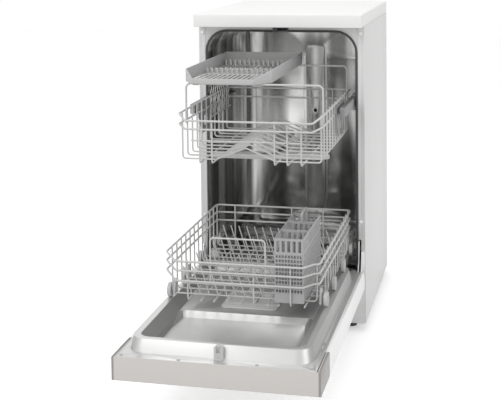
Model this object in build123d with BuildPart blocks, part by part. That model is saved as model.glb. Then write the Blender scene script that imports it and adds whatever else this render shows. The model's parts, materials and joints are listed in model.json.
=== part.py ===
"""Slimline dishwasher, 45 cm wide, with its door open and both racks pulled out.

Millimetres. X is to the right, Y runs back into the cabinet and Z is up. The origin is on the
floor, below the middle of the cabinet's front frame.
"""

import os

from build123d import *

os.makedirs("parts", exist_ok=True)

# Cabinet
cabinet_width = 448.0
cabinet_depth = 545.0
cabinet_height = 845.0
worktop_thickness = 34.0
worktop_overhang = 55.6
foot_height = 22.0
foot_inset = 48.0
foot_pad_radius = 19.0
sheet = 1.0
fold = 18.0
kick_top = 147.0
base_wall = 40.0
base_sheet = 2.0
counterweight_height = 70.0
counterweight_depth = 105.0

# Tub, measured on its inner faces
tub_side_gap = 22.5
tub_top_gap = 49.0
tub_half_width = cabinet_width / 2 - tub_side_gap
tub_top = cabinet_height - tub_top_gap
tub_mouth_bottom = 153.0
tub_floor = 158.0
tub_back = 513.0
tub_sheet = 1.2
tub_top_radius = 55.0
tub_low_radius = 16.0
pocket_depth = 15.0
ledge_height = 197.0
ledge_width = 25.5
ledge_half_gap = tub_half_width - ledge_width
duct_x = 8.0
duct_width = 57.0
duct_depth = 11.0
duct_top = tub_top - 84.0
panel_top = tub_top - 127.0
panel_relief = 3.0
gasket_thickness = 3.1
gasket_lip = 1.5
gasket_width = 5.7

# Sump, pumps and lower spray arm
sump_y = 240.0
sump_radius = 62.0
sump_depth = 66.0
cup_y = 214.0
cup_radius = 28.0
arm_y = 278.0
spindle_radius = 6.0
arm_end_gap = 18.0
arm_reach = ledge_half_gap - arm_end_gap
arm_thickness = 12.0
arm_height = 176.0
salt_x = 112.0
salt_y = 140.0
salt_radius = 27.0
pump_radius = 42.0
pump_length = 105.0
running_fit = 0.08

# Door, lying open
pivot_y = -42.0
pivot_z = 129.0
door_end = -721.3
door_under = 116.7
door_face = 168.6
door_side_gap = 1.0
door_half_width = cabinet_width / 2 - door_side_gap
door_sheet = 1.0
console_length = 115.0
console_wall = 2.5
end_cap = 4.5
liner_half_width = door_half_width - 8.5
flange_end = -31.0
ring_half_width = door_half_width - 20.0
ring_front = -690.0
ring_rear = -72.0
ring_radius = 40.0
ring_draught = 7.0
ring_top = 197.0
dish_inset = 15.0
dish_draught = 28.0
dish_floor = 163.0
platform_floor = 175.0
platform_front = -489.0
liner_sheet = 1.2
screw_head_radius = 3.6
screw_head_height = 1.6
screw_shank_radius = 1.7
pin_radius = 4.0
button_radius = 6.2
button_pitch = 26.0

# Dispenser in the door
dispenser_x = -3.0
dispenser_y = -330.0
dispenser_width = 134.0
dispenser_length = 128.0
dispenser_rim = 3.0

# Racks, pulled out
wire = 4.0
rim_wire = 5.0
wire_bend = 4.0
weld_gap = 0.1
lower_x = -3.0
lower_front = -448.0
lower_depth = 472.0
lower_side_gap = 17.5
lower_half_width = tub_half_width - lower_side_gap
lower_bottom = 203.0
lower_front_rims = (297.0, 275.5, 251.5)
lower_side_rims = (316.0, 296.0, 274.0)
handle_rise = 58.0
handle_width = 130.0
tine_length = 66.0
tine_wire = 3.4
tine_lean = 17.0
tine_pitch = 21.5
wheel_radius = 17.0
wheel_width = 9.0
wheel_axle = 2.5
wheel_places = (-401.0, -282.0, -130.0, 20.0)
notch_play = 1.7
upper_front = -390.0
upper_depth = 484.0
upper_side_gap = 29.5
upper_half_width = tub_half_width - upper_side_gap
upper_bottom = tub_top - 281.0
upper_front_rims = (upper_bottom + 102.0, upper_bottom + 82.0)
upper_side_rims = (upper_bottom + 116.0, upper_bottom + 91.0)
ridge_x = -13.0
ridge_half_width = 72.0
ridge_height = 29.0
hoop_top = upper_bottom + 184.5
hoop_half_width = upper_half_width - rim_wire - 0.1
hoop_places = (-325.0, 80.0)

# Upper rack runners
rail_height = 24.0
rail_depth = 12.0
rail_sheet = 1.4
rail_z = upper_bottom + 97.0
rail_wall_gap = 3.5
rail_outer = tub_half_width - rail_wall_gap
rail_front = -184.0
rail_length = 434.0
roller_radius = 10.2
roller_width = 8.0
roller_places = (-160.0, -70.0)
guide_roller_radius = 8.0
guide_y = 40.0

# Slotted basket and top tray
basket_width = 68.0
basket_right = lower_half_width - 46.0
basket_left = basket_right - basket_width
basket_front = -439.0
basket_length = 240.0
basket_height = 149.0
basket_wall = 2.0
basket_solid_base = 22.0
basket_band = 118.0
tray_width = 214.0
tray_left = -upper_half_width
tray_right = tray_left + tray_width
tray_front = -352.0
tray_back = 95.0
tray_corner_x = 32.0
tray_corner_y = 43.0
tray_height = 31.0
tray_front_height = 12.5
tray_wall = 2.0

# Places that follow from the sizes above
panel_half = cabinet_width / 2
worktop_bottom = cabinet_height - worktop_thickness
frame_front = sheet + 0.2
frame_back = frame_front + tub_sheet
mouth_back = frame_back + 0.1
slot_inner = tub_half_width + 2.3
slot_outer = slot_inner + 9.8
slot_bottom = 80.0
slot_top = 245.0
arm_plate_inner = slot_inner + 2.2
arm_plate = 3.0
bracket_inner = slot_outer + 0.8
bracket_sheet = 2.4
console_end = door_end + console_length
lower_back = lower_front + lower_depth
upper_back = upper_front + upper_depth
lower_long_z = lower_bottom + wire / 2
lower_cross_z = lower_long_z + wire + weld_gap
upper_long_z = upper_bottom + wire / 2
upper_cross_z = upper_long_z + wire + weld_gap
wheel_z = ledge_height + wheel_radius + 0.3
wheel_inner = lower_half_width - 1.7
tray_bottom = hoop_top + 0.3
basket_bottom = lower_cross_z + wire / 2 + 0.3
finished = {}


def keep(name, builder):
    """Label a finished piece and hold it for export."""
    builder.part.label = name
    finished[name] = builder


def arc_points(centre, radius, start, steps):
    """Points of a quarter turn about a centre, from its starting angle."""
    turns = [start + 90 / steps * step for step in range(steps + 1)]
    return [tuple(Vector(*centre) + Vector(radius, 0).rotate(Axis.Z, turn))[:2] for turn in turns]


def arched_block(half_width, bottom, top, front, back, top_radius, low_radius, mode=Mode.ADD):
    """Extrude a rectangle with rounded upper corners and cut lower ones from its front to its back."""
    reach = half_width - top_radius
    outline = arc_points((reach, top - top_radius), top_radius, 0, 6)
    outline += arc_points((-reach, top - top_radius), top_radius, 90, 6)
    if low_radius:
        cut = 0.6 * low_radius
        outline += [(-half_width, bottom + cut), (cut - half_width, bottom)]
        outline += [(half_width - cut, bottom), (half_width, bottom + cut)]
    else:
        outline += [(-half_width, bottom), (half_width, bottom)]
    with BuildSketch(Plane.XZ.offset(-front)) as section:
        with BuildLine():
            Polyline(*outline, close=True)
        make_face()
    extrude(section.sketch, amount=front - back, mode=mode)


def draughted_block(low, high, mode=Mode.ADD):
    """A block between two level outlines: height, half width, front, back, corner radius."""
    rings = []
    for height, half_width, front, back, radius in (low, high):
        right, left, ahead, behind = half_width - radius, radius - half_width, front + radius, back - radius
        corners = ((right, behind), (left, behind), (left, ahead), (right, ahead))
        outline = [point for turn, centre in enumerate(corners) for point in arc_points(centre, radius, 90 * turn, 3)]
        rings.append([(x, y, height) for x, y in outline])
    lower, upper = rings
    faces = [Face(Wire.make_polygon(ring)) for ring in rings]
    for index in range(len(lower)):
        faces.append(Face(Wire.make_polygon([lower[index - 1], lower[index], upper[index], upper[index - 1]])))
    add(Solid(Shell(faces)), mode=mode)


def block(x_range, y_range, z_range, mode=Mode.ADD):
    """A box from its three ranges."""
    centre = [(low + high) / 2 for low, high in (x_range, y_range, z_range)]
    size = [high - low for low, high in (x_range, y_range, z_range)]
    with Locations(tuple(centre)):
        Box(*size, mode=mode)


def eased(points, cut):
    """The points with each inner corner cut back into two gentler ones."""
    route = [points[0]]
    for before, corner, after in zip(points, points[1:], points[2:]):
        middle = Vector(*corner)
        for other in (before, after):
            route.append(tuple(middle + (Vector(*other) - middle).normalized() * cut))
    route.append(points[-1])
    return route


def bent_wire(points, diameter, cut=0.0, sides=4):
    """One wire through the points, four or six-sided, with its corners eased by a cut."""
    route_points = eased(points, cut) if cut else points
    with BuildPart() as piece:
        with BuildLine() as route:
            Polyline(*route_points)
        with BuildSketch(Plane(origin=route.line @ 0, z_dir=route.line % 0)):
            if sides == 4:
                Rectangle(diameter, diameter)
            else:
                RegularPolygon(diameter / 2, sides)
        sweep(transition=Transition.RIGHT)
    return piece.part


def square_bar(start, direction, length, diameter):
    """One straight four-sided bar from its start along a direction."""
    with BuildPart() as piece:
        with BuildSketch(Plane(origin=start, z_dir=direction)):
            Rectangle(diameter, diameter)
        extrude(amount=length)
    return piece.part


def prism(start, direction, length, radius, sides=16, mode=Mode.ADD):
    """A many-sided stud, or a bore, from its start along a direction."""
    with BuildSketch(Plane(origin=start, z_dir=direction)) as section:
        RegularPolygon(radius, sides)
    extrude(section.sketch, amount=length, mode=mode)


def wheel(centre, outward, radius, width, bore, sides=16):
    """A many-sided roller with a six-sided bore for its X axle."""
    x, y, z = centre
    with BuildPart() as piece:
        with BuildSketch(Plane(origin=(x - outward * width / 2, y, z), z_dir=(outward, 0, 0))):
            RegularPolygon(radius, sides)
            RegularPolygon(bore, 6, mode=Mode.SUBTRACT)
        extrude(amount=width)
    return piece.part


# Worktop, with a shallow recess below it
with BuildPart() as worktop:
    with BuildSketch(Plane.XY.offset(worktop_bottom)):
        with Locations((0, (cabinet_depth - worktop_overhang) / 2)):
            Rectangle(cabinet_width, cabinet_depth + worktop_overhang)
    extrude(amount=worktop_thickness)
    chamfer(worktop.edges().filter_by(Axis.Z), 3)
    chamfer(worktop.edges().group_by(Axis.Z)[-1], 2)
    block(
        (-panel_half + fold + 4, panel_half - fold - 4),
        (fold, cabinet_depth - fold),
        (worktop_bottom, worktop_bottom + 6),
        mode=Mode.SUBTRACT,
    )
keep("worktop", worktop)

# Side panels, folded at the front, the back and the top
cap_places = ((panel_half - 10, cabinet_height - 53), (panel_half - 11.5, 293.5))
for side, side_name in ((-1, "left"), (1, "right")):
    with BuildPart() as side_panel:
        with BuildSketch(Plane.XY.offset(foot_height)):
            with Locations((side * (panel_half - sheet / 2), cabinet_depth / 2)):
                Rectangle(sheet, cabinet_depth)
            for y in (sheet / 2, cabinet_depth - sheet / 2):
                with Locations((side * (panel_half - fold / 2), y)):
                    Rectangle(fold, sheet)
        extrude(amount=worktop_bottom - foot_height - 0.2)
        inner_faces = sorted((side * (panel_half - fold - 1), side * (panel_half - sheet)))
        block(inner_faces, (-1, sheet), (foot_height - 1, kick_top + 4), mode=Mode.SUBTRACT)
        block(inner_faces, (sheet, cabinet_depth - sheet), (worktop_bottom - 1.2, worktop_bottom - 0.2))
        slot_faces = sorted((side * (slot_inner - 1), side * slot_outer))
        block(slot_faces, (-1, sheet + 1), (slot_bottom, slot_top), mode=Mode.SUBTRACT)
        with BuildSketch(Plane.XZ):
            with Locations(*((side * x, z) for x, z in cap_places)):
                RegularPolygon(3, 6)
        extrude(amount=-sheet, mode=Mode.SUBTRACT)
    keep("side_panel_" + side_name, side_panel)

# Snap-in caps over the panel screws
with BuildPart() as screw_caps:
    for side in (-1, 1):
        for x, z in cap_places:
            with BuildSketch(Plane.XZ.offset(2)):
                with Locations((side * x, z)):
                    RegularPolygon(4.2, 8)
            with BuildSketch(Plane.XZ):
                with Locations((side * x, z)):
                    RegularPolygon(5.2, 8)
            loft(ruled=True)
            with BuildSketch(Plane.XZ):
                with Locations((side * x, z)):
                    RegularPolygon(2.9, 6)
            extrude(amount=-sheet)
keep("screw_caps", screw_caps)

# Front frame, a pressed plate round the tub's mouth
catch_left = -20.0
catch_right = 22.0
catch_bottom = tub_top + 1
catch_top = catch_bottom + 11
with BuildPart() as front_frame:
    block((-panel_half + sheet + 0.3, panel_half - sheet - 0.3), (frame_front, frame_back), (128, worktop_bottom - 1.4))
    arched_block(
        tub_half_width, tub_mouth_bottom, tub_top, frame_front, frame_back,
        tub_top_radius, tub_low_radius, mode=Mode.SUBTRACT,
    )
    for side in (-1, 1):
        slot_faces = sorted((side * slot_inner, side * slot_outer))
        block(slot_faces, (frame_front, frame_back), (slot_bottom, slot_top), mode=Mode.SUBTRACT)
    block((catch_left - 0.2, catch_right + 0.2), (frame_front, frame_back), (tub_top - 1, catch_top + 0.2), mode=Mode.SUBTRACT)
keep("front_frame", front_frame)

# Kick plate below the door
with BuildPart() as kick_plate:
    block((-panel_half + sheet + 0.3, panel_half - sheet - 0.3), (0, sheet), (foot_height, kick_top))
    block((-panel_half + sheet + 0.3, panel_half - sheet - 0.3), (-6, 0), (foot_height, foot_height + sheet))
keep("kick_plate", kick_plate)

# Base tray with foot bosses, cross ribs and spring lugs
base_bottom = foot_height
base_half = panel_half - sheet - 0.4
base_front = sheet + 0.3
base_back = cabinet_depth - 3
foot_places = [
    (side * (panel_half - foot_inset), y) for side in (-1, 1) for y in (foot_inset, base_back - foot_inset)
]
spring_x = panel_half - 11
spring_z = 85.0
spring_front = 62.0
spring_length = 200.0
with BuildPart() as base_tray:
    block((-base_half, base_half), (base_front, base_back), (base_bottom, base_bottom + base_wall))
    block(
        (-base_half + base_sheet, base_half - base_sheet),
        (base_front + base_sheet, base_back - base_sheet),
        (base_bottom + base_sheet, base_bottom + base_wall),
        mode=Mode.SUBTRACT,
    )
    for y in (100.0, 395.0):
        block((-base_half + 1, base_half - 1), (y - 1.5, y + 1.5), (base_bottom + 1, base_bottom + 22))
    with Locations(*((x, y, base_bottom) for x, y in foot_places)):
        Box(24, 24, 20, align=(Align.CENTER, Align.CENTER, Align.MIN))
    for x, y in foot_places:
        prism((x, y, base_bottom - 1), (0, 0, 1), 25, 5.2, 6, mode=Mode.SUBTRACT)
    for side in (-1, 1):
        lug_faces = sorted((side * (spring_x - 4), side * base_half))
        lug_y = spring_front + spring_length + 0.3
        block(lug_faces, (lug_y, lug_y + 4), (base_bottom + 1, spring_z + 6))
keep("base_tray", base_tray)

# Screw feet
with BuildPart() as feet:
    for x, y in foot_places:
        prism((x, y, 0), (0, 0, 1), 7, foot_pad_radius, 12)
        prism((x, y, 0), (0, 0, 1), 44, 5 - running_fit, 6)
keep("feet", feet)

# Tub, a pressed shell with wheel ledges, a spray duct and two raised back panels
pocket_back = mouth_back + pocket_depth
with BuildPart() as tub:
    for grow, mode in ((tub_sheet, Mode.ADD), (0.0, Mode.SUBTRACT)):
        arched_block(
            tub_half_width + grow, tub_mouth_bottom - grow, tub_top + grow, mouth_back, pocket_back + grow - tub_sheet,
            tub_top_radius + grow, tub_low_radius + grow, mode=mode,
        )
        arched_block(
            tub_half_width + grow, ledge_height - grow, tub_top + grow, mouth_back + 6, tub_back + grow,
            tub_top_radius + grow, 0, mode=mode,
        )
        arched_block(
            ledge_half_gap + grow, tub_floor - grow, ledge_height + 9, mouth_back + 6, tub_back + grow,
            2, tub_low_radius + grow, mode=mode,
        )
    for shrink, start, mode in ((0.0, tub_back + 0.1, Mode.ADD), (tub_sheet, tub_back + tub_sheet + 0.1, Mode.SUBTRACT)):
        with BuildSketch(Plane.XZ.offset(-start)):
            with Locations((duct_x, (ledge_height + duct_top) / 2)):
                RectangleRounded(duct_width - 2 * shrink, duct_top - ledge_height - 2 * shrink, 12 - shrink)
        extrude(amount=start - tub_back + duct_depth - shrink, mode=mode)
        with BuildSketch(Plane.XZ.offset(-start)):
            for side in (-1, 1):
                panel_inner = duct_width / 2 + 9 + side * duct_x
                panel_outer = tub_half_width - 60
                with Locations((side * (panel_inner + panel_outer) / 2, (panel_top + 250) / 2)):
                    Rectangle(panel_outer - panel_inner - 2 * shrink, panel_top - 250 - 2 * shrink)
        extrude(amount=start - tub_back + panel_relief - shrink, mode=mode)
    with BuildSketch(Plane.XY.offset(tub_floor - tub_sheet - 1)):
        with Locations((0, sump_y)):
            RegularPolygon(sump_radius - 3, 12)
        with Locations((salt_x, salt_y)):
            RegularPolygon(salt_radius - 4, 12)
    extrude(amount=tub_sheet + 2, mode=Mode.SUBTRACT)
    dock_z = upper_bottom - 6.3
    with BuildSketch(Plane.XZ.offset(-tub_back + duct_depth - 0.5)):
        with Locations((duct_x, dock_z)):
            RegularPolygon(9, 12)
    extrude(amount=3.5)
    with BuildSketch(Plane.XZ.offset(-tub_back + duct_depth + 4)):
        with Locations((duct_x, dock_z)):
            RegularPolygon(6.1, 12)
    extrude(amount=-6, mode=Mode.SUBTRACT)
keep("tub", tub)

# Door gasket round the tub's mouth, notched below the catch
with BuildPart() as tub_gasket:
    gasket_front = frame_front - 0.1 - gasket_thickness
    arched_block(
        tub_half_width + gasket_width - gasket_lip, tub_mouth_bottom + 8, tub_top + gasket_width - gasket_lip,
        gasket_front, frame_front - 0.1, tub_top_radius + gasket_width - gasket_lip, 0,
    )
    arched_block(
        tub_half_width - gasket_lip, tub_mouth_bottom + 7, tub_top - gasket_lip,
        gasket_front, frame_front - 0.1, tub_top_radius - gasket_lip, 0, mode=Mode.SUBTRACT,
    )
    block(
        (catch_left - 0.5, catch_right + 0.5), (gasket_front, frame_front), (catch_bottom - 0.5, cabinet_height),
        mode=Mode.SUBTRACT,
    )
keep("tub_gasket", tub_gasket)

# Door catch, a moulded housing with a mouth that opens forwards and down
with BuildPart() as latch_catch:
    block((catch_left, catch_right), (-2.5, 28), (catch_bottom + 0.3, catch_top))
    block((-8.5, 16.5), (-3, 20), (catch_bottom, catch_bottom + 7.5), mode=Mode.SUBTRACT)
    block((1, 7), (13, 19), (catch_bottom + 1.5, catch_bottom + 8))
    chamfer(latch_catch.edges().filter_by(Axis.Z).group_by(Axis.Y)[0], 1.2)
keep("latch_catch", latch_catch)

# Back panel with pressed ribs and a hole for the water inlet
inlet_x = 120.0
inlet_z = 60.0
drain_x = 60.0
with BuildPart() as back_panel:
    back_front = cabinet_depth - sheet - 1.2
    block((-panel_half + 4, panel_half - 4), (back_front, back_front + sheet), (foot_height + base_wall, worktop_bottom - 1.4))
    with BuildSketch(Plane.XZ.offset(-back_front)):
        with Locations(*((0, z) for z in (220, 400, 580))):
            Rectangle(2 * panel_half - 118, 26)
    extrude(amount=2)
    with BuildSketch(Plane.XZ.offset(-back_front)):
        with Locations((inlet_x, inlet_z + 25), (drain_x, inlet_z + 25)):
            RegularPolygon(16, 12)
    extrude(amount=-sheet, mode=Mode.SUBTRACT)
keep("back_panel", back_panel)

# Sump bowl below the tub, with the softener tank and the spray spindle
flange_z = tub_floor - tub_sheet - 0.2
bowl_bottom = flange_z - sump_depth
pump_z = bowl_bottom + 20
pump_face = sump_radius + 14.0
pump_directions = ((-1, 0, 0), (0, 1, 0))
with BuildPart() as sump:
    prism((0, sump_y, bowl_bottom), (0, 0, 1), sump_depth, sump_radius, 12)
    prism((0, sump_y, flange_z - 4), (0, 0, 1), 4, sump_radius + 14, 12)
    block((34, 165), (95, 202), (70, 140))
    prism((salt_x, salt_y, 130), (0, 0, 1), flange_z - 130, salt_radius + 6, 12)
    prism((salt_x, salt_y, 130), (0, 0, 1), flange_z - 129, salt_radius - 6, 12, mode=Mode.SUBTRACT)
    for direction in pump_directions:
        prism((0, sump_y, pump_z), direction, pump_face, 14, 8)
    prism((0, sump_y, bowl_bottom + 3), (0, 0, 1), sump_depth, sump_radius - 3, 12, mode=Mode.SUBTRACT)
    for direction in pump_directions:
        prism((0, sump_y, pump_z), direction, pump_face, 11, 8, mode=Mode.SUBTRACT)
    prism((0, arm_y, bowl_bottom + 1), (0, 0, 1), arm_height - 3 - bowl_bottom, 11, 8)
    prism((0, arm_y, arm_height - 4), (0, 0, 1), arm_thickness + 7, spindle_radius, 12)
keep("sump", sump)

# Coarse filter plate on the tub floor, with a ring of slots
plate_z = tub_floor + 0.2
with BuildPart() as filter_plate:
    with BuildSketch(Plane.XY.offset(plate_z)):
        with Locations((0, sump_y)):
            RegularPolygon(sump_radius + 6, 16)
        with Locations((0, cup_y)):
            RegularPolygon(cup_radius + 0.6, 16, mode=Mode.SUBTRACT)
        with Locations((0, arm_y)):
            RegularPolygon(11.4, 12, mode=Mode.SUBTRACT)
        with Locations((0, sump_y)):
            with PolarLocations(sump_radius - 7, 6, start_angle=-180, angular_range=160):
                Rectangle(9, 3, mode=Mode.SUBTRACT)
    extrude(amount=1.2)
keep("filter_plate", filter_plate)

# Filter cup, turned out by its grip
with BuildPart() as filter_cup:
    prism((0, cup_y, plate_z - 44), (0, 0, 1), 47, cup_radius - 0.2)
    prism((0, cup_y, plate_z - 42), (0, 0, 1), 46, cup_radius - 4, mode=Mode.SUBTRACT)
    block((-cup_radius + 4, cup_radius - 4), (cup_y - 2, cup_y + 2), (plate_z - 42.5, plate_z + 9))
keep("filter_cup", filter_cup)

# Salt cap with a ribbed grip
with BuildPart() as salt_cap:
    prism((salt_x, salt_y, plate_z), (0, 0, 1), 5, salt_radius, 20)
    prism((salt_x, salt_y, plate_z - 14), (0, 0, 1), 15, salt_radius - 8)
    block((salt_x - salt_radius + 6, salt_x + salt_radius - 6), (salt_y - 3, salt_y + 3), (plate_z + 4, plate_z + 12))
keep("salt_cap", salt_cap)


def spray_arm(centre, bottom, reach, thickness, bore):
    """A tapered two-ended arm with nozzles along each blade."""
    x, y = centre
    with BuildPart() as piece:
        with BuildSketch(Plane.XY.offset(bottom)) as outline:
            with Locations((x, y)):
                RegularPolygon(27, 16)
            with Locations((x + reach - 14, y + 12), (x - reach + 14, y - 12)):
                RegularPolygon(14, 10)
            make_hull()
        extrude(amount=thickness)
        chamfer(piece.edges().group_by(Axis.Z)[-1], 2.5)
        with BuildSketch(Plane.XY.offset(bottom)):
            with Locations((x, y)):
                RegularPolygon(bore, 12)
        extrude(amount=thickness, mode=Mode.SUBTRACT)
        with BuildSketch(Plane.XY.offset(bottom + thickness)):
            for end in (-1, 1):
                for share in (0.4, 0.66, 0.92):
                    with Locations((x + end * share * reach, y + end * share * 12)):
                        Rectangle(9, 3.4)
        extrude(amount=-3, mode=Mode.SUBTRACT)
    return piece


lower_spray_arm = spray_arm((0, arm_y), arm_height, arm_reach, arm_thickness, spindle_radius + 0.5)
keep("lower_spray_arm", lower_spray_arm)

# Circulation pump and drain pump on the sump's sides
with BuildPart() as circulation_pump:
    prism((-pump_face, sump_y, pump_z), (-1, 0, 0), pump_length, pump_radius, 20)
    prism((-pump_face - pump_length, sump_y, pump_z), (-1, 0, 0), 12, 16, 12)
    block(
        (-pump_face - 70, -pump_face - 30), (sump_y - 20, sump_y + 20),
        (base_bottom + base_sheet, pump_z - pump_radius + 6),
    )
keep("circulation_pump", circulation_pump)

with BuildPart() as drain_pump:
    prism((0, sump_y + pump_face, pump_z), (0, 1, 0), 55, 26)
    prism((0, sump_y + pump_face + 55, pump_z), (0, 1, 0), 12, 9, 12)
keep("drain_pump", drain_pump)

# Water inlet valve and drain outlet at the back
with BuildPart() as inlet_valve:
    valve_z = inlet_z + 25
    block((inlet_x - 22, inlet_x + 22), (back_front - 46, back_front - 4), (foot_height + 2.3, valve_z + 20))
    with Locations((inlet_x, back_front - 5, valve_z)):
        Cylinder(13.1, 24, rotation=(-90, 0, 0), align=(Align.CENTER, Align.CENTER, Align.MIN))
    prism((inlet_x, back_front - 5, valve_z), (0, 1, 0), 24, 6, 8, mode=Mode.SUBTRACT)
keep("inlet_valve", inlet_valve)

with BuildPart() as drain_outlet:
    block((drain_x - 18, drain_x + 18), (back_front - 40, back_front - 4), (foot_height + 2.3, valve_z + 16))
    with Locations((drain_x, back_front - 5, valve_z)):
        Cylinder(10, 30, rotation=(-90, 0, 0), align=(Align.CENTER, Align.CENTER, Align.MIN))
    prism((drain_x, back_front - 5, valve_z), (0, 1, 0), 30, 7.5, 8, mode=Mode.SUBTRACT)
keep("drain_outlet", drain_outlet)

# Counterweight across the back of the base
with BuildPart() as counterweight:
    block(
        (-150, 20), (base_back - base_sheet - 0.3 - counterweight_depth, base_back - base_sheet - 0.3),
        (base_bottom + base_sheet + 0.3, base_bottom + base_sheet + counterweight_height),
    )
    chamfer(counterweight.edges().group_by(Axis.Z)[-1], 6)
keep("counterweight", counterweight)

# Fixed hinge brackets with their pivot pins
with BuildPart() as hinge_brackets:
    with BuildSketch(Plane.YZ.offset(bracket_inner)):
        with BuildLine():
            Polyline(
                (-0.2, 215), (-0.2, 119.5), (-50, 119.5), (-50, 140), (-30, 151), (-11, 208), (-8, 215), close=True,
            )
        make_face()
    extrude(amount=bracket_sheet)
    block((bracket_inner, panel_half - 1.5), (-2.4, -0.2), (151, 215))
    with Locations((arm_plate_inner - 4, pivot_y, pivot_z)):
        Cylinder(
            pin_radius, bracket_inner - arm_plate_inner + 5, rotation=(0, 90, 0),
            align=(Align.CENTER, Align.CENTER, Align.MIN),
        )
    mirror(about=Plane.YZ)
keep("hinge_brackets", hinge_brackets)

# Hinge arms of the door, each with a lever through the frame's slot
with BuildPart() as hinge_arms:
    with BuildSketch(Plane.YZ.offset(arm_plate_inner)):
        with BuildLine():
            Polyline(
                (-220, 166.8), (-220, 150), (-64, 121.5), (-34, 119.5), (-24, 140), (-2, 168), (6, 186), (9, 240),
                (1, 243), (-6, 238), (-9, 190), (-20, 172), (-36, 160), (-60, 166.8), close=True,
            )
        make_face()
        with Locations((pivot_y, pivot_z)):
            RegularPolygon(pin_radius + 0.3, 12, mode=Mode.SUBTRACT)
        with Locations((1.5, 234)):
            RegularPolygon(2.8, 6, mode=Mode.SUBTRACT)
    extrude(amount=arm_plate)
    mirror(about=Plane.YZ)
keep("hinge_arms", hinge_arms)

# Door springs with their pull rods, parted from the levers' eyes
spring_parts = []
for side in (-1, 1):
    x = side * spring_x
    with BuildPart() as spring:
        prism((x, spring_front, spring_z), (0, 1, 0), spring_length, 8, 8)
        prism((x, spring_front, spring_z), (0, 1, 0), spring_length, 5, 8, mode=Mode.SUBTRACT)
        block((x - 7, x + 7), (spring_front, spring_front + 1.5), (spring_z - 7, spring_z + 7))
    spring_parts.append(spring.part)
    rod_points = [(x, spring_front - 0.1, spring_z), (x, spring_front - 30, spring_z), (x, 18, 150), (x, 12.5, 226)]
    spring_parts.append(bent_wire(rod_points, 4))
with BuildPart() as door_springs:
    add(spring_parts)
keep("door_springs", door_springs)

# Door skin, a folded tray with a curved back end that clears the frame as the door swings
with BuildPart() as door_outer_panel:
    block((-door_half_width, door_half_width), (console_end + 0.2, -5), (door_under, door_face))
    block(
        (-door_half_width + door_sheet, door_half_width - door_sheet), (console_end, 0),
        (door_under + door_sheet, door_face - door_sheet), mode=Mode.SUBTRACT,
    )
    block((-liner_half_width - 0.2, liner_half_width + 0.2), (console_end, 0), (door_face - 2, door_face + 1), mode=Mode.SUBTRACT)
    with BuildSketch(Plane.YZ.offset(-door_half_width - 1)):
        with BuildLine():
            Polyline((flange_end, door_face + 1), (1, door_face + 1), (1, 140), (-5, 140), (-9, 152), (flange_end, door_face - 2), close=True)
        make_face()
    extrude(amount=2 * door_half_width + 2, mode=Mode.SUBTRACT)
keep("door_outer_panel", door_outer_panel)

# Door liner: a flat flange, a raised ring and a dish in two depths
dish_floor_half = ring_half_width - ring_draught - dish_inset - dish_draught
ring_low = (door_face - 0.2, ring_half_width, ring_front, ring_rear, ring_radius)
ring_high = (
    ring_top, ring_half_width - ring_draught, ring_front + ring_draught, ring_rear - ring_draught, ring_radius - ring_draught,
)
dish_mouth = ring_half_width - ring_draught - dish_inset
dish_front = ring_front + ring_draught + dish_inset
dish_back = ring_rear - ring_draught - dish_inset
screw_places = (
    [(side * (liner_half_width - 7.99), -708) for side in (-1, 1)]
    + [(side * (liner_half_width - 6.5), -600) for side in (-1, 1)]
    + [(side * (liner_half_width - 6.5), -561) for side in (-1, 1)]
    + [(-79, -712), (88, -708)]
)
recess_x = (dispenser_x - dispenser_width / 2 + 5, dispenser_x + dispenser_width / 2 - 5)
recess_y = (dispenser_y - dispenser_length / 2 + 5, dispenser_y + dispenser_length / 2 - 5)
with BuildPart() as door_liner:
    block((-liner_half_width, liner_half_width), (door_end + 1.5, flange_end), (door_face - door_sheet, door_face))
    draughted_block(ring_low, ring_high)
    draughted_block(
        (door_face - door_sheet - 0.1, ring_half_width - liner_sheet, ring_front + liner_sheet, ring_rear - liner_sheet, ring_radius - liner_sheet),
        (
            ring_top - liner_sheet, ring_half_width - ring_draught - liner_sheet, ring_front + ring_draught + liner_sheet,
            ring_rear - ring_draught - liner_sheet, ring_radius - ring_draught - liner_sheet,
        ),
        mode=Mode.SUBTRACT,
    )
    for grow, mode in ((liner_sheet, Mode.ADD), (0.0, Mode.SUBTRACT)):
        draughted_block(
            (platform_floor - grow, dish_floor_half + 6 + grow, dish_front + 16 - grow, dish_back - 16 + grow, 14 + grow),
            (ring_top, dish_mouth + grow, dish_front - grow, dish_back + grow, 22 + grow),
            mode=mode,
        )
        draughted_block(
            (dish_floor - grow, dish_floor_half + grow, dish_front + 24 - grow, platform_front - 14 + grow, 12 + grow),
            (platform_floor + 0.1, dish_floor_half + 6 + grow, dish_front + 16 - grow, platform_front + grow, 14 + grow),
            mode=mode,
        )
    block(recess_x, recess_y, (platform_floor - 5, platform_floor + 1), mode=Mode.SUBTRACT)
    with BuildSketch(Plane.XY.offset(door_face)):
        with Locations(*screw_places):
            RegularPolygon(screw_shank_radius + 0.1, 6)
    extrude(amount=-door_sheet, mode=Mode.SUBTRACT)
keep("door_liner", door_liner)

# Screws that hold the liner
with BuildPart() as door_screws:
    for x, y in screw_places:
        prism((x, y, door_face), (0, 0, 1), screw_head_height, screw_head_radius, 8)
        prism((x, y, door_face + 0.5), (0, 0, -1), 8, screw_shank_radius, 6)
keep("door_screws", door_screws)

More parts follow.
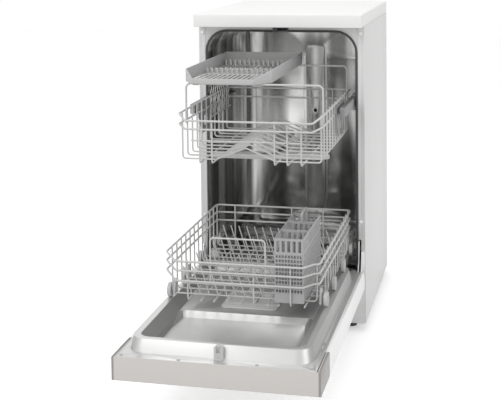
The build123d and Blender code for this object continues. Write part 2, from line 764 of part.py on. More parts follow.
# Console moulding with a grip pocket, a window opening and button holes
button_y = door_end + 33
button_places = [46 + button_pitch * index for index in range(3)]
window_x = (-70.0, 15.0)
window_y = (button_y - 13, button_y + 13)
with BuildPart() as console:
    half = door_half_width - end_cap
    block((-half, half), (door_end, console_end), (door_under, door_face - door_sheet - 0.2))
    fillet(console.edges().filter_by(Axis.X).group_by(Axis.Z)[0].group_by(Axis.Y)[0], 3)
    block(
        (-half + console_wall, half - console_wall), (door_end + console_wall, console_end - console_wall),
        (door_under + console_wall, door_face), mode=Mode.SUBTRACT,
    )
    block((-half, half), (door_end, door_end + 1.3), (door_face - 2, door_face))
    block((28 - ring_half_width, ring_half_width - 28), (console_end - console_wall - 1, console_end + 1), (dish_floor - liner_sheet - 1, door_face), mode=Mode.SUBTRACT)
    block((-72, 72), (console_end - 42, console_end - console_wall), (door_under + console_wall, door_under + 24))
    block((-69, 69), (console_end - 39, console_end - 5), (door_under, door_under + 21), mode=Mode.SUBTRACT)
    block(window_x, window_y, (door_under, door_under + console_wall), mode=Mode.SUBTRACT)
    with BuildSketch(Plane.XY.offset(door_under)):
        with Locations(*((x, button_y) for x in button_places)):
            RegularPolygon(button_radius + 0.3, 16)
    extrude(amount=console_wall, mode=Mode.SUBTRACT)
keep("console", console)

with BuildPart() as console_end_caps:
    block((door_half_width - end_cap + 0.1, door_half_width + 0.5), (door_end, console_end), (door_under, door_face - door_sheet - 0.2))
    block((door_half_width - end_cap + 2, door_half_width + 0.5), (door_end + 1, console_end), (door_face - door_sheet - 0.3, door_face))
    fillet(console_end_caps.edges().filter_by(Axis.X).group_by(Axis.Z)[0].group_by(Axis.Y)[0], 3)
    mirror(about=Plane.YZ)
keep("console_end_caps", console_end_caps)

with BuildPart() as display_window:
    block(
        (window_x[0] + 0.2, window_x[1] - 0.2), (window_y[0] + 0.2, window_y[1] - 0.2),
        (door_under + 0.2, door_under + console_wall),
    )
    block((window_x[0] - 3, window_x[1] + 3), (window_y[0] - 3, window_y[1] + 3), (door_under + console_wall, door_under + console_wall + 2))
keep("display_window", display_window)

for number, x in enumerate(button_places, start=1):
    with BuildPart() as button:
        with BuildSketch(Plane.XY.offset(door_under - 1.2)):
            with Locations((x, button_y)):
                RegularPolygon(button_radius, 16)
        extrude(amount=console_wall + 1.4)
        prism((x, button_y, door_under + console_wall + 0.2), (0, 0, 1), 2, button_radius + 1.8)
    keep("button_" + str(number), button)

# Striker on the flange that the catch holds
with BuildPart() as door_latch_hook:
    hook_x = 4.0
    hook_back = ring_front - 1.0
    with BuildSketch(Plane.XZ.offset(-hook_back)) as hook_profile:
        with Locations((hook_x, door_face + 16)):
            Rectangle(20, 32)
        chamfer(hook_profile.vertices().group_by(Axis.Y)[-1], 6)
        with Locations((hook_x, door_face + 21)):
            Rectangle(9, 13, mode=Mode.SUBTRACT)
    extrude(amount=7)
    block((hook_x - 9, hook_x + 9), (hook_back - 12, hook_back), (door_face, door_face + 4))
keep("door_latch_hook", door_latch_hook)

# Dispenser body with a sliding lid and a turning rinse cap
cup_x = (dispenser_x - 56, dispenser_x + 8)
cup_range_y = (dispenser_y - 34, dispenser_y + 34)
rinse_x = dispenser_x + 42
rinse_y = dispenser_y + 50
rinse_radius = 11.5
rinse_plug = 7.0
bezel_top = platform_floor + dispenser_rim
with BuildPart() as dispenser:
    with BuildSketch(Plane.XY.offset(platform_floor + 0.1)):
        with Locations((dispenser_x, dispenser_y)):
            Rectangle(dispenser_width, dispenser_length)
    extrude(amount=dispenser_rim)
    chamfer(dispenser.edges().filter_by(Axis.Z), 8)
    block(
        (recess_x[0] + 0.3, recess_x[1] - 0.3), (recess_y[0] + 0.3, recess_y[1] - 0.3), (platform_floor - 32, platform_floor + 1),
    )
    block(cup_x, cup_range_y, (platform_floor - 24, bezel_top + 1), mode=Mode.SUBTRACT)
    prism((rinse_x, rinse_y, bezel_top + 0.1), (0, 0, -1), 16, rinse_plug + 0.2, 12, mode=Mode.SUBTRACT)
    for y in (cup_range_y[0] - 3, cup_range_y[1] + 1):
        block((cup_x[0] - 2, dispenser_x + dispenser_width / 2 - 2), (y, y + 2), (bezel_top - 0.5, bezel_top + 3.4))
keep("dispenser", dispenser)

with BuildPart() as dispenser_lid:
    block((cup_x[0] - 1, cup_x[1] + 3), (cup_range_y[0] - 0.6, cup_range_y[1] + 0.6), (bezel_top + 0.4, bezel_top + 3.2))
    block((cup_x[1] - 7, cup_x[1] - 3), (dispenser_y - 20, dispenser_y + 20), (bezel_top + 3, bezel_top + 6))
    chamfer(dispenser_lid.edges().filter_by(Axis.Z).group_by(Axis.X)[-1], 2.5)
keep("dispenser_lid", dispenser_lid)

with BuildPart() as rinse_cap:
    prism((rinse_x, rinse_y, bezel_top + 0.4), (0, 0, 1), 4, rinse_radius, 20)
    prism((rinse_x, rinse_y, bezel_top + 0.9), (0, 0, -1), 10, rinse_plug - 0.3, 12)
    block((rinse_x - 9, rinse_x + 9), (rinse_y - 1.5, rinse_y + 1.5), (bezel_top + 4, bezel_top + 7))
keep("rinse_cap", rinse_cap)

# Lower rack rims: each steps back at the front right and rises towards the sides
lower_rim_back = lower_back + (rim_wire + wire) / 2 + weld_gap


def lower_rim(front_z, side_z):
    """Points of one rim wire, from the back left corner round the front to the back right corner."""
    left = lower_x - lower_half_width
    right = lower_x + lower_half_width
    return [
        (left, lower_rim_back, side_z), (left, lower_front + 9, side_z), (left + 25, lower_front, front_z),
        (basket_right - 1, lower_front, front_z), (basket_right + 21, lower_front + 36, front_z),
        (right - 10, lower_front + 36, front_z), (right, lower_front + 54, side_z), (right, lower_rim_back, side_z),
    ]


rim_parts = []
for front_z, side_z in zip(lower_front_rims, lower_side_rims):
    rim_points = lower_rim(front_z, side_z)
    rim_parts.append(bent_wire(rim_points, rim_wire, sides=6))
    rim_parts.append(bent_wire([rim_points[0], rim_points[-1]], rim_wire, sides=6))
handle_y = lower_front + (rim_wire + wire) / 2 + weld_gap
handle_top = lower_front_rims[0] + handle_rise
handle_x = -15.0
handle_points = [
    (handle_x - handle_width / 2, handle_y, lower_front_rims[2] - 4), (handle_x - handle_width / 2, handle_y, handle_top),
    (handle_x + handle_width / 2, handle_y, handle_top), (handle_x + handle_width / 2, handle_y, lower_front_rims[2] - 4),
]
rim_parts.append(bent_wire(handle_points, wire, 5))
with BuildPart() as lower_rack_rims:
    add(rim_parts)
keep("lower_rack_rims", lower_rack_rims)

# Lower rack wires: long ones turn up at the front and the back, cross ones at both sides
lower_long_places = [-135, 22, 108]
lower_plain_places = [-104, -73, -42, -10, 54, 80, 140]
lower_cross_pitch = 38.0
lower_cross_places = [lower_front + 40.6 + lower_cross_pitch * index for index in range(12)]
wire_half = lower_half_width - (rim_wire + wire) / 2 - weld_gap
lower_parts = []
for x in lower_long_places:
    points = [
        (x, handle_y, lower_front_rims[0] + 2), (x, handle_y, lower_long_z), (x, lower_back, lower_long_z),
        (x, lower_back, lower_side_rims[0] + 2),
    ]
    lower_parts.append(bent_wire(points, wire, wire_bend))
for x in lower_plain_places:
    lower_parts.append(square_bar((x, lower_front + 6, lower_long_z), (0, 1, 0), lower_depth - 8, wire))
for index, y in enumerate(lower_cross_places):
    right_end = lower_x + wire_half - (13 if index == 0 else 0)
    points = [
        (lower_x - wire_half, y, lower_side_rims[0] + 2), (lower_x - wire_half, y, lower_cross_z),
        (right_end, y, lower_cross_z), (right_end, y, lower_side_rims[0] - 20 if index == 0 else lower_side_rims[0] + 2),
    ]
    lower_parts.append(bent_wire(points, wire, wire_bend))
with BuildPart() as lower_rack_wires:
    add(lower_parts)
keep("lower_rack_wires", lower_rack_wires)

# Leaning tines in four rows, each foot standing on a cross wire
tine_rows = [(lower_cross_places[0], 9), (lower_cross_places[3], 9), (lower_cross_places[7], 14), (lower_cross_places[10], 14)]
tine = square_bar((0, 0, 0), (0, 0, 1), tine_length, tine_wire)
with BuildPart() as lower_rack_tines:
    for y, count in tine_rows:
        with Locations(*((-136 + tine_pitch * index, y, lower_cross_z + wire / 2 + 0.6) for index in range(count))):
            add(tine, rotation=(0, -tine_lean, 0))
keep("lower_rack_tines", lower_rack_tines)

# Wheel brackets clipped to the side wires, with their axle stubs
with BuildPart() as lower_wheel_brackets:
    for side in (-1, 1):
        inner = lower_x + side * (wire_half - wire / 2 - 5)
        for y in wheel_places:
            x_range = sorted((inner, inner + side * 4.8))
            with BuildSketch(Plane.YZ.offset(x_range[0])):
                with Locations((y, wheel_z + 8)):
                    Trapezoid(26, 36, 78)
            extrude(amount=4.8)
            for cross_y in lower_cross_places:
                block(
                    (x_range[0] - 1, x_range[1] + 1), (cross_y - wire / 2 - notch_play, cross_y + wire / 2 + notch_play),
                    (lower_bottom - 4, lower_cross_z + 6), mode=Mode.SUBTRACT,
                )
            axle_start = inner + side * 4
            axle_end = lower_x + side * (wheel_inner + wheel_width + 1.5)
            prism((axle_start, y, wheel_z), (side, 0, 0), abs(axle_end - axle_start), wheel_axle, 6)
keep("lower_wheel_brackets", lower_wheel_brackets)

for number, y in enumerate(wheel_places, start=1):
    pair = [
        wheel(
            (lower_x + side * (wheel_inner + wheel_width / 2), y, wheel_z), side, wheel_radius, wheel_width,
            wheel_axle + 0.5, 20,
        )
        for side in (-1, 1)
    ]
    with BuildPart() as wheel_pair:
        add(pair)
    keep("lower_wheels_" + str(number), wheel_pair)

# Slotted basket, three cells over a solid base, with a carrying arch
basket_top = basket_bottom + basket_height
basket_back = basket_front + basket_length
basket_mid = (basket_left + basket_right) / 2
with BuildPart() as slotted_basket:
    with BuildSketch(Plane.XY.offset(basket_bottom)):
        with Locations((basket_mid, (basket_front + basket_back) / 2)):
            RectangleRounded(basket_right - basket_left, basket_length, 4)
    extrude(amount=basket_height)
    cell = (basket_length - 4 * basket_wall) / 3
    for index in range(3):
        start = basket_front + basket_wall + index * (cell + basket_wall)
        block(
            (basket_left + basket_wall, basket_right - basket_wall), (start, start + cell),
            (basket_bottom + basket_wall, basket_top + 1), mode=Mode.SUBTRACT,
        )
    for wall_y in (basket_front + basket_wall + 1, basket_back + 1):
        with BuildSketch(Plane.XZ.offset(-wall_y)):
            with Locations((basket_mid, basket_bottom + basket_band + 15)):
                with GridLocations(12.4, 1, 5, 1):
                    Rectangle(7, 24)
            with Locations((basket_mid, basket_bottom + (basket_band + basket_solid_base) / 2 - 3)):
                with GridLocations(12.4, 1, 5, 1):
                    Rectangle(7.5, 78)
        extrude(amount=basket_wall + 2, mode=Mode.SUBTRACT)
    with BuildSketch(Plane.YZ.offset(basket_left - 1)):
        for index in range(3):
            middle = basket_front + basket_wall + index * (cell + basket_wall) + cell / 2
            with Locations((middle, basket_bottom + basket_band + 15)):
                with GridLocations(34, 1, 2, 1):
                    Rectangle(26, 24)
            with Locations((middle, basket_bottom + (basket_band + basket_solid_base) / 2 - 3)):
                with GridLocations(34, 1, 2, 1):
                    Rectangle(26, 78)
    extrude(amount=basket_right - basket_left + 2, mode=Mode.SUBTRACT)
    for y in (basket_front + 2 * cell, basket_back - basket_wall - 12):
        block((basket_mid - 2, basket_mid + 2), (y, y + 12), (basket_top - 30, basket_top + 16))
    block((basket_mid - 5, basket_mid + 5), (basket_front + 2 * cell, basket_back - basket_wall), (basket_top + 14, basket_top + 20))
keep("slotted_basket", slotted_basket)

# Upper rack rims and the two hoops that carry the tray
upper_rim_back = upper_back + (rim_wire + wire) / 2 + weld_gap


def upper_rim(front_z, side_z):
    """Points of one upper rim wire, round the front from back corner to back corner."""
    return [
        (-upper_half_width, upper_rim_back, side_z), (-upper_half_width, upper_front + 20, side_z),
        (-upper_half_width + 20, upper_front, front_z), (upper_half_width - 20, upper_front, front_z),
        (upper_half_width, upper_front + 20, side_z), (upper_half_width, upper_rim_back, side_z),
    ]


upper_parts = []
for front_z, side_z in zip(upper_front_rims, upper_side_rims):
    rim_points = upper_rim(front_z, side_z)
    upper_parts.append(bent_wire(rim_points, rim_wire, sides=6))
    upper_parts.append(bent_wire([rim_points[0], rim_points[-1]], rim_wire, sides=6))
for y in hoop_places:
    hoop_z = hoop_top - rim_wire / 2
    points = [
        (-hoop_half_width, y, upper_side_rims[1] - 6), (-hoop_half_width, y, hoop_z), (hoop_half_width, y, hoop_z),
        (hoop_half_width, y, upper_side_rims[1] - 6),
    ]
    upper_parts.append(bent_wire(points, rim_wire, 6, sides=6))
with BuildPart() as upper_rack_rims:
    add(upper_parts)
keep("upper_rack_rims", upper_rack_rims)

# Upper rack wires: long ones turn up at both ends, cross ones climb a central ridge
upper_long_places = (-118, -88, 62, 92, 125)
upper_cross_pitch = 43.0
upper_cross_places = [upper_front + 32 + upper_cross_pitch * index for index in range(11)]
upper_front_y = upper_front + (rim_wire + wire) / 2 + weld_gap
upper_wire_half = upper_half_width - (rim_wire + wire) / 2 - weld_gap
upper_parts = []
for x in upper_long_places:
    points = [
        (x, upper_front_y, upper_front_rims[0] + 2), (x, upper_front_y, upper_long_z), (x, upper_back, upper_long_z),
        (x, upper_back, upper_side_rims[0] + 2),
    ]
    upper_parts.append(bent_wire(points, wire, wire_bend))
for y in upper_cross_places:
    points = [
        (-upper_wire_half, y, upper_side_rims[0] + 2), (-upper_wire_half, y, upper_cross_z),
        (ridge_x - ridge_half_width, y, upper_cross_z), (ridge_x, y, upper_cross_z + ridge_height),
        (ridge_x + ridge_half_width, y, upper_cross_z), (upper_wire_half, y, upper_cross_z),
        (upper_wire_half, y, upper_side_rims[0] + 2),
    ]
    upper_parts.append(bent_wire(points, wire))
front_wire_z = upper_bottom + 54
upper_parts.append(square_bar((-140, upper_front_y + wire + weld_gap, front_wire_z), (1, 0, 0), 270, wire))
with BuildPart() as upper_rack_wires:
    add(upper_parts)
keep("upper_rack_wires", upper_rack_wires)

# Height-setting brackets on the upper rack, with the roller axles
bracket_x = upper_half_width + rim_wire / 2 + 0.3
with BuildPart() as upper_rack_brackets:
    with BuildSketch(Plane.YZ.offset(bracket_x)):
        with BuildLine():
            Polyline(
                (-182, rail_z + 16), (-182, rail_z - 22), (-150, rail_z - 66), (-80, rail_z - 66), (-48, rail_z - 22),
                (-48, rail_z + 16), close=True,
            )
        make_face()
        with Locations((-115, rail_z - 37)):
            Rectangle(34, 26, mode=Mode.SUBTRACT)
    extrude(amount=3)
    block((bracket_x, bracket_x + 9), (-122, -108), (rail_z - 64, rail_z - 52))
    for y in roller_places:
        prism((bracket_x + 1, y, rail_z), (1, 0, 0), rail_outer - rail_sheet - 2 - bracket_x, 3, 6)
    mirror(about=Plane.YZ)
keep("upper_rack_brackets", upper_rack_brackets)

roller_x = rail_outer - rail_sheet - 1 - roller_width / 2
for number, y in enumerate(roller_places, start=1):
    pair = [
        wheel((side * roller_x, y, rail_z), side, roller_radius, roller_width, 3.6) for side in (-1, 1)
    ]
    with BuildPart() as roller_pair:
        add(pair)
    keep("upper_rollers_" + str(number), roller_pair)

# Telescopic rails, channels that open towards the rack
with BuildPart() as rails:
    block((rail_outer - rail_depth, rail_outer), (rail_front, rail_front + rail_length), (rail_z - rail_height / 2, rail_z + rail_height / 2))
    block(
        (rail_outer - rail_depth - 1, rail_outer - rail_sheet), (rail_front + 4, rail_front + rail_length - 4),
        (rail_z - rail_height / 2 + rail_sheet, rail_z + rail_height / 2 - rail_sheet), mode=Mode.SUBTRACT,
    )
    mirror(about=Plane.YZ)
keep("rails", rails)

# Fixed rail guides on the tub walls, with a lower roller in front and a shoe behind
guide_roller_z = rail_z - rail_height / 2 - guide_roller_radius - 0.3
guide_inner = rail_outer + 0.6
with BuildPart() as rail_guides:
    block((guide_inner, tub_half_width - 0.1), (guide_y - 24, guide_y + 24), (guide_roller_z - 14, rail_z + rail_height / 2 + 8))
    block((rail_outer - rail_depth, guide_inner + 1), (guide_y - 20, guide_y + 20), (rail_z + rail_height / 2 + 0.4, rail_z + rail_height / 2 + 3))
    prism((rail_outer - rail_depth, guide_y, guide_roller_z), (1, 0, 0), rail_depth + 1, 3, 6)
    shoe_y = guide_y + 190
    block((rail_outer - rail_depth - 2, tub_half_width - 0.1), (shoe_y, shoe_y + 18), (rail_z - rail_height / 2 - 4, rail_z + rail_height / 2 + 4))
    block(
        (rail_outer - rail_depth - 3, rail_outer + 0.4), (shoe_y - 1, shoe_y + 19),
        (rail_z - rail_height / 2 - 0.4, rail_z + rail_height / 2 + 0.4), mode=Mode.SUBTRACT,
    )
    mirror(about=Plane.YZ)
keep("rail_guides", rail_guides)

pair = [
    wheel(
        (side * (rail_outer - rail_depth / 2), guide_y, guide_roller_z), -side, guide_roller_radius, roller_width,
        3.6,
    )
    for side in (-1, 1)
]
with BuildPart() as guide_rollers:
    add(pair)
keep("guide_rollers", guide_rollers)

# Feed pipe below the upper rack, from the back dock to the arm's hub
pipe_width = 36.0
pipe_top = upper_bottom - 0.3
pipe_bottom = pipe_top - 12
upper_arm_y = (upper_front + upper_back) / 2
upper_arm_top = pipe_bottom - 4
with BuildPart() as upper_feed_pipe:
    with BuildSketch(Plane.XY.offset(pipe_bottom)):
        with Locations((0, (upper_arm_y - pipe_width / 2 + upper_back) / 2)):
            Rectangle(pipe_width, upper_back - upper_arm_y + pipe_width / 2)
    extrude(amount=12)
    for y in upper_cross_places[6:9]:
        block(
            (ridge_x - 4, ridge_x + 4), (y - 3, y + 3), (pipe_top - 1, upper_cross_z + ridge_height - wire - 0.3),
        )
    prism((duct_x, upper_back - 6, (pipe_top + pipe_bottom) / 2), (0, 1, 0), 22, 5.5, 12)
    prism((0, upper_arm_y, pipe_bottom + 1), (0, 0, -1), arm_thickness + 8, spindle_radius, 12)
keep("upper_feed_pipe", upper_feed_pipe)

upper_spray_arm = spray_arm(
    (0, upper_arm_y), upper_arm_top - arm_thickness, arm_reach - 6, arm_thickness, spindle_radius + 0.5,
)
keep("upper_spray_arm", upper_spray_arm)

# Top tray on the hoops: chamfered front, slotted floor, two combs and sliding clips
tray_points = [
    (tray_left + tray_corner_x - 5, tray_front), (tray_right - tray_corner_x - 5, tray_front), (tray_right, tray_front + tray_corner_y),
    (tray_right, tray_back), (tray_left, tray_back), (tray_left, tray_front + tray_corner_y),
]
with BuildPart() as top_tray:
    with BuildSketch(Plane.XY.offset(tray_bottom)):
        with BuildLine():
            Polyline(*tray_points, close=True)
        make_face()
    extrude(amount=tray_height)
    with BuildSketch(Plane.XY.offset(tray_bottom + tray_wall)):
        with BuildLine():
            Polyline(*tray_points, close=True)
        make_face()
        offset(amount=-tray_wall, mode=Mode.REPLACE)
    extrude(amount=tray_height, mode=Mode.SUBTRACT)
    with BuildSketch(Plane.YZ.offset(tray_left - 1)):
        with BuildLine():
            Polyline(
                (tray_front - 1, tray_bottom + tray_front_height), (tray_front, tray_bottom + tray_front_height),
                (tray_front + tray_corner_y, tray_bottom + tray_height), (tray_front + tray_corner_y, tray_bottom + tray_height + 5),
                (tray_front - 1, tray_bottom + tray_height + 5), close=True,
            )
        make_face()
    extrude(amount=tray_right - tray_left + 2, mode=Mode.SUBTRACT)
    tray_mid = (tray_left + tray_right) / 2
    with BuildSketch(Plane.XY.offset(tray_bottom - 1)):
        for centre_y in (-235, -40):
            with Locations((tray_mid, centre_y)):
                with GridLocations(24, 1, 8, 1):
                    Rectangle(11, 120)
    extrude(amount=tray_wall + 2, mode=Mode.SUBTRACT)
    for comb_y in (-160, 36):
        block((tray_left + 8, tray_right - 8), (comb_y - 2, comb_y + 2), (tray_bottom + 1, tray_bottom + 8))
        with Locations((tray_mid, comb_y, tray_bottom + 7)):
            with GridLocations(20, 1, 10, 1):
                Box(4, 4, 12, align=(Align.CENTER, Align.CENTER, Align.MIN))
    for y in hoop_places:
        for clip_x in (tray_left + 30, tray_right - 30):
            for offset_y in (-3.6, 3.6):
                block((clip_x - 7, clip_x + 7), (y + offset_y - 0.8, y + offset_y + 0.8), (hoop_top - 6, tray_bottom + 0.5))
keep("top_tray", top_tray)

for name, builder in finished.items():
    export_step(builder.part, "parts/" + name + ".step")
print(len(finished), "pieces")
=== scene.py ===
"""Looks of the slimline dishwasher: camera, light, materials and the rounded wirework of its racks."""

import json
import math

import bmesh
import bpy
from mathutils import Matrix, Vector


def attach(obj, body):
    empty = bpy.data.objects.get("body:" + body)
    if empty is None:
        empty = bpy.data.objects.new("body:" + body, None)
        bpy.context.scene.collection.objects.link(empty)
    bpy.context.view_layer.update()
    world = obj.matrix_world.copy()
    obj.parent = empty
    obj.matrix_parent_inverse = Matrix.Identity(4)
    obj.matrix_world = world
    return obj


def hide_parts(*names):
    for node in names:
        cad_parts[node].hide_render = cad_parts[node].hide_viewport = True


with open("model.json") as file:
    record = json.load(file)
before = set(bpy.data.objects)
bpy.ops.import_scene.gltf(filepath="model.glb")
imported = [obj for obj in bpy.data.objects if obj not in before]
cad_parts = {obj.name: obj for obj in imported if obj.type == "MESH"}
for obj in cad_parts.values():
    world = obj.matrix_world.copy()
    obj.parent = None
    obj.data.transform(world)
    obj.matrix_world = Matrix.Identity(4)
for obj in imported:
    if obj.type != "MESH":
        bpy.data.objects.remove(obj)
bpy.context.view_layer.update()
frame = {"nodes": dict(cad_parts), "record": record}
nodes = frame["nodes"]
scene = bpy.context.scene
MM = 0.001

# Camera, at the photograph's place and angle
picture_width = 500
picture_height = 400
yaw = math.radians(13.0887)
pitch = math.radians(-3.5251)
roll = math.radians(0.6391)
camera_place = (0.58767, -2.89768, 1.04674)
focal_pixels = 1117.13
centre_column = 248.29
centre_row = 6.01
sensor_width = 36.0


def add_camera():
    turn = Matrix.Rotation(yaw, 3, "Z") @ Matrix.Rotation(pitch, 3, "X") @ Matrix.Rotation(roll, 3, "Y")
    right, forward, up = turn.col
    camera = bpy.data.objects.new("camera", bpy.data.cameras.new("camera"))
    scene.collection.objects.link(camera)
    rows = Matrix((right, up, -forward)).transposed().to_4x4()
    rows.translation = Vector(camera_place)
    camera.matrix_world = rows
    camera.data.sensor_width = sensor_width
    camera.data.lens = focal_pixels / picture_width * sensor_width
    camera.data.shift_x = (picture_width / 2 - centre_column) / picture_width
    camera.data.shift_y = (centre_row - picture_height / 2) / picture_width
    camera.data.clip_end = 30
    scene.camera = camera


# Materials
class Shader:
    """A node material with short ways to wire it."""

    def __init__(self, name, colour, roughness, metallic=0.0):
        self.material = bpy.data.materials.new(name)
        self.material.use_nodes = True
        self.tree = self.material.node_tree
        self.bsdf = self.tree.nodes["Principled BSDF"]
        self.bsdf.inputs["Base Color"].default_value = (*colour, 1)
        self.bsdf.inputs["Roughness"].default_value = roughness
        self.bsdf.inputs["Metallic"].default_value = metallic
        self.colour = colour
        self.coords = self.node("ShaderNodeTexCoord").outputs["Object"]

    def node(self, kind, **settings):
        made = self.tree.nodes.new(kind)
        for key, value in settings.items():
            setattr(made, key, value)
        return made

    def link(self, source, target):
        self.tree.links.new(source, target)

    def stretched(self, scale):
        mapping = self.node("ShaderNodeMapping")
        mapping.inputs["Scale"].default_value = scale
        self.link(self.coords, mapping.inputs["Vector"])
        return mapping.outputs["Vector"]

    def noise(self, scale, detail=3.0, stretch=(1, 1, 1)):
        noise = self.node("ShaderNodeTexNoise")
        noise.inputs["Scale"].default_value = scale
        noise.inputs["Detail"].default_value = detail
        self.link(self.stretched(stretch), noise.inputs["Vector"])
        return noise.outputs["Fac"]

    def ramp(self, factor, low, high):
        spread = self.node("ShaderNodeMapRange")
        spread.inputs["To Min"].default_value = low
        spread.inputs["To Max"].default_value = high
        self.link(factor, spread.inputs["Value"])
        return spread.outputs["Result"]

    def tint(self, factor, low, high):
        mix = self.node("ShaderNodeMix", data_type="RGBA")
        mix.inputs["A"].default_value = (*(channel * low for channel in self.colour), 1)
        mix.inputs["B"].default_value = (*(min(1.0, channel * high) for channel in self.colour), 1)
        self.link(factor, mix.inputs["Factor"])
        self.link(mix.outputs["Result"], self.bsdf.inputs["Base Color"])

    def rough(self, factor, low, high):
        self.link(self.ramp(factor, low, high), self.bsdf.inputs["Roughness"])

    def paint_side_shade(self, share):
        """Painted shade: darken what faces along X, standing in for the darker surroundings that those sides
        mirror.
        """
        facing = self.node("ShaderNodeTexCoord").outputs["Normal"]
        parts = self.node("ShaderNodeSeparateXYZ")
        self.link(facing, parts.inputs["Vector"])
        size = self.node("ShaderNodeMath", operation="ABSOLUTE")
        self.link(parts.outputs["X"], size.inputs[0])
        mix = self.node("ShaderNodeMix", data_type="RGBA", blend_type="MULTIPLY")
        mix.inputs["B"].default_value = (share, share, share, 1)
        target = self.bsdf.inputs["Base Color"]
        self.link(target.links[0].from_socket, mix.inputs["A"])
        self.link(size.outputs["Value"], mix.inputs["Factor"])
        self.link(mix.outputs["Result"], target)

    def bump(self, height, strength, distance):
        bump = self.node("ShaderNodeBump")
        bump.inputs["Strength"].default_value = strength
        bump.inputs["Distance"].default_value = distance
        self.link(height, bump.inputs["Height"])
        self.link(bump.outputs["Normal"], self.bsdf.inputs["Normal"])


def enamel(name, colour, roughness=0.32):
    """Stoved paint with faint orange peel and a little handling wear in the gloss."""
    shader = Shader(name, colour, roughness)
    shader.tint(shader.noise(3.0), 0.985, 1.015)
    shader.rough(shader.noise(14.0), roughness - 0.05, roughness + 0.07)
    shader.bump(shader.noise(420.0, 2.0), 0.05, 0.0004)
    return shader.material


def laminate(name, colour):
    """Melamine face with a fine pore."""
    shader = Shader(name, colour, 0.42)
    shader.tint(shader.noise(2.0), 0.99, 1.01)
    shader.rough(shader.noise(30.0), 0.36, 0.5)
    shader.bump(shader.noise(900.0, 4.0), 0.12, 0.0003)
    return shader.material


def moulded(name, colour, roughness=0.5, grain=600.0, strength=0.14):
    """Moulded plastic with a fine spark-eroded grain."""
    shader = Shader(name, colour, roughness)
    shader.tint(shader.noise(9.0), 0.95, 1.05)
    shader.rough(shader.noise(60.0), roughness - 0.07, roughness + 0.08)
    shader.bump(shader.noise(grain, 3.0), strength, 0.0003)
    return shader.material


def steel(name, colour, roughness, stretch, metallic=1.0, spread=0.06, side_shade=1.0):
    """Rolled sheet with faint marks along one axis, soft smears, and painted shade on the sides that face
    along X when side_shade is below one.
    """
    shader = Shader(name, colour, roughness, metallic)
    rolled = shader.noise(70.0, 3.0, stretch)
    shader.tint(shader.noise(5.0), 1 - spread, 1 + spread)
    # Painted shade on the sides that face along X.
    if side_shade < 1:
        shader.paint_side_shade(side_shade)
    shader.rough(rolled, roughness - 0.05, roughness + 0.07)
    shader.bump(rolled, 0.05, 0.0002)
    return shader.material


def tub_steel(name, colour, roughness, painted_dark_share=0.3, painted_bright_share=1.3):
    """Bright tub sheet with upright waves in its bump, and painted reflection: upright dark and bright bands
    in its base colour that stand in for what the sheet mirrors.
    """
    shader = Shader(name, colour, roughness, 1.0)
    waves = shader.noise(13.0, 2.0, (1, 1, 0.05))
    # Painted reflection: the waves also set dark and bright bands in the base colour.
    painted_reflection_bands = shader.node("ShaderNodeValToRGB")
    dark, bright = painted_reflection_bands.color_ramp.elements
    dark.position = 0.44
    dark.color = (*(channel * painted_dark_share for channel in colour), 1)
    bright.position = 0.66
    bright.color = (*(min(1.0, channel * painted_bright_share) for channel in colour), 1)
    shader.link(waves, painted_reflection_bands.inputs["Fac"])
    shader.link(painted_reflection_bands.outputs["Color"], shader.bsdf.inputs["Base Color"])
    shader.rough(shader.noise(8.0), roughness - 0.05, roughness + 0.08)
    shader.bump(waves, 0.5, 0.004)
    return shader.material


def coated_wire(name, colour):
    """Nylon coat over wire, slightly uneven."""
    shader = Shader(name, colour, 0.34)
    shader.tint(shader.noise(25.0), 0.94, 1.06)
    shader.rough(shader.noise(90.0), 0.27, 0.42)
    shader.bump(shader.noise(700.0, 2.0), 0.06, 0.0003)
    return shader.material


def rubber(name, colour):
    """Matt rubber with a dusty grain."""
    shader = Shader(name, colour, 0.62)
    shader.tint(shader.noise(12.0), 0.85, 1.2)
    shader.rough(shader.noise(50.0), 0.55, 0.72)
    shader.bump(shader.noise(500.0, 3.0), 0.2, 0.0004)
    return shader.material


def cast(name, colour):
    """Rough casting."""
    shader = Shader(name, colour, 0.8)
    shader.tint(shader.noise(20.0), 0.8, 1.2)
    shader.bump(shader.noise(120.0, 5.0), 0.5, 0.001)
    return shader.material


looks = {
    "white_board": laminate("white_board", (0.83, 0.83, 0.82)),
    "white_panel": enamel("white_panel", (0.74, 0.74, 0.735)),
    "white_plastic": moulded("white_plastic", (0.92, 0.92, 0.915), 0.35),
    "galvanised": steel("galvanised", (0.55, 0.56, 0.57), 0.5, (1, 1, 1)),
    "dark_plastic": moulded("dark_plastic", (0.055, 0.055, 0.06), 0.5),
    "grey_plastic": moulded("grey_plastic", (0.50, 0.50, 0.495), 0.45),
    "light_plastic": moulded("light_plastic", (0.62, 0.62, 0.60), 0.45),
    # The tub's stainless look carries painted reflection in upright dark and bright bands.
    "stainless": tub_steel("stainless", (0.66, 0.66, 0.65), 0.2),
    "gasket": rubber("gasket", (0.05, 0.05, 0.05)),
    "weight": cast("weight", (0.10, 0.10, 0.10)),
    "hinge_steel": enamel("hinge_steel", (0.16, 0.16, 0.16), 0.4),
    "spring_steel": steel("spring_steel", (0.5, 0.5, 0.5), 0.35, (1, 1, 1)),
    "taupe_plastic": enamel("taupe_plastic", (0.60, 0.573, 0.55), 0.4),
    "cap_plastic": moulded("cap_plastic", (0.30, 0.29, 0.28), 0.4),
    "window": moulded("window", (0.02, 0.02, 0.024), 0.12, 300.0, 0.02),
    "button_plastic": moulded("button_plastic", (0.50, 0.48, 0.46), 0.35),
    "coated_wire": coated_wire("coated_wire", (0.56, 0.56, 0.555)),
    "basket_plastic": moulded("basket_plastic", (0.40, 0.40, 0.402), 0.46),
    "rail_steel": steel("rail_steel", (0.6, 0.6, 0.6), 0.3, (1, 20, 1)),
}
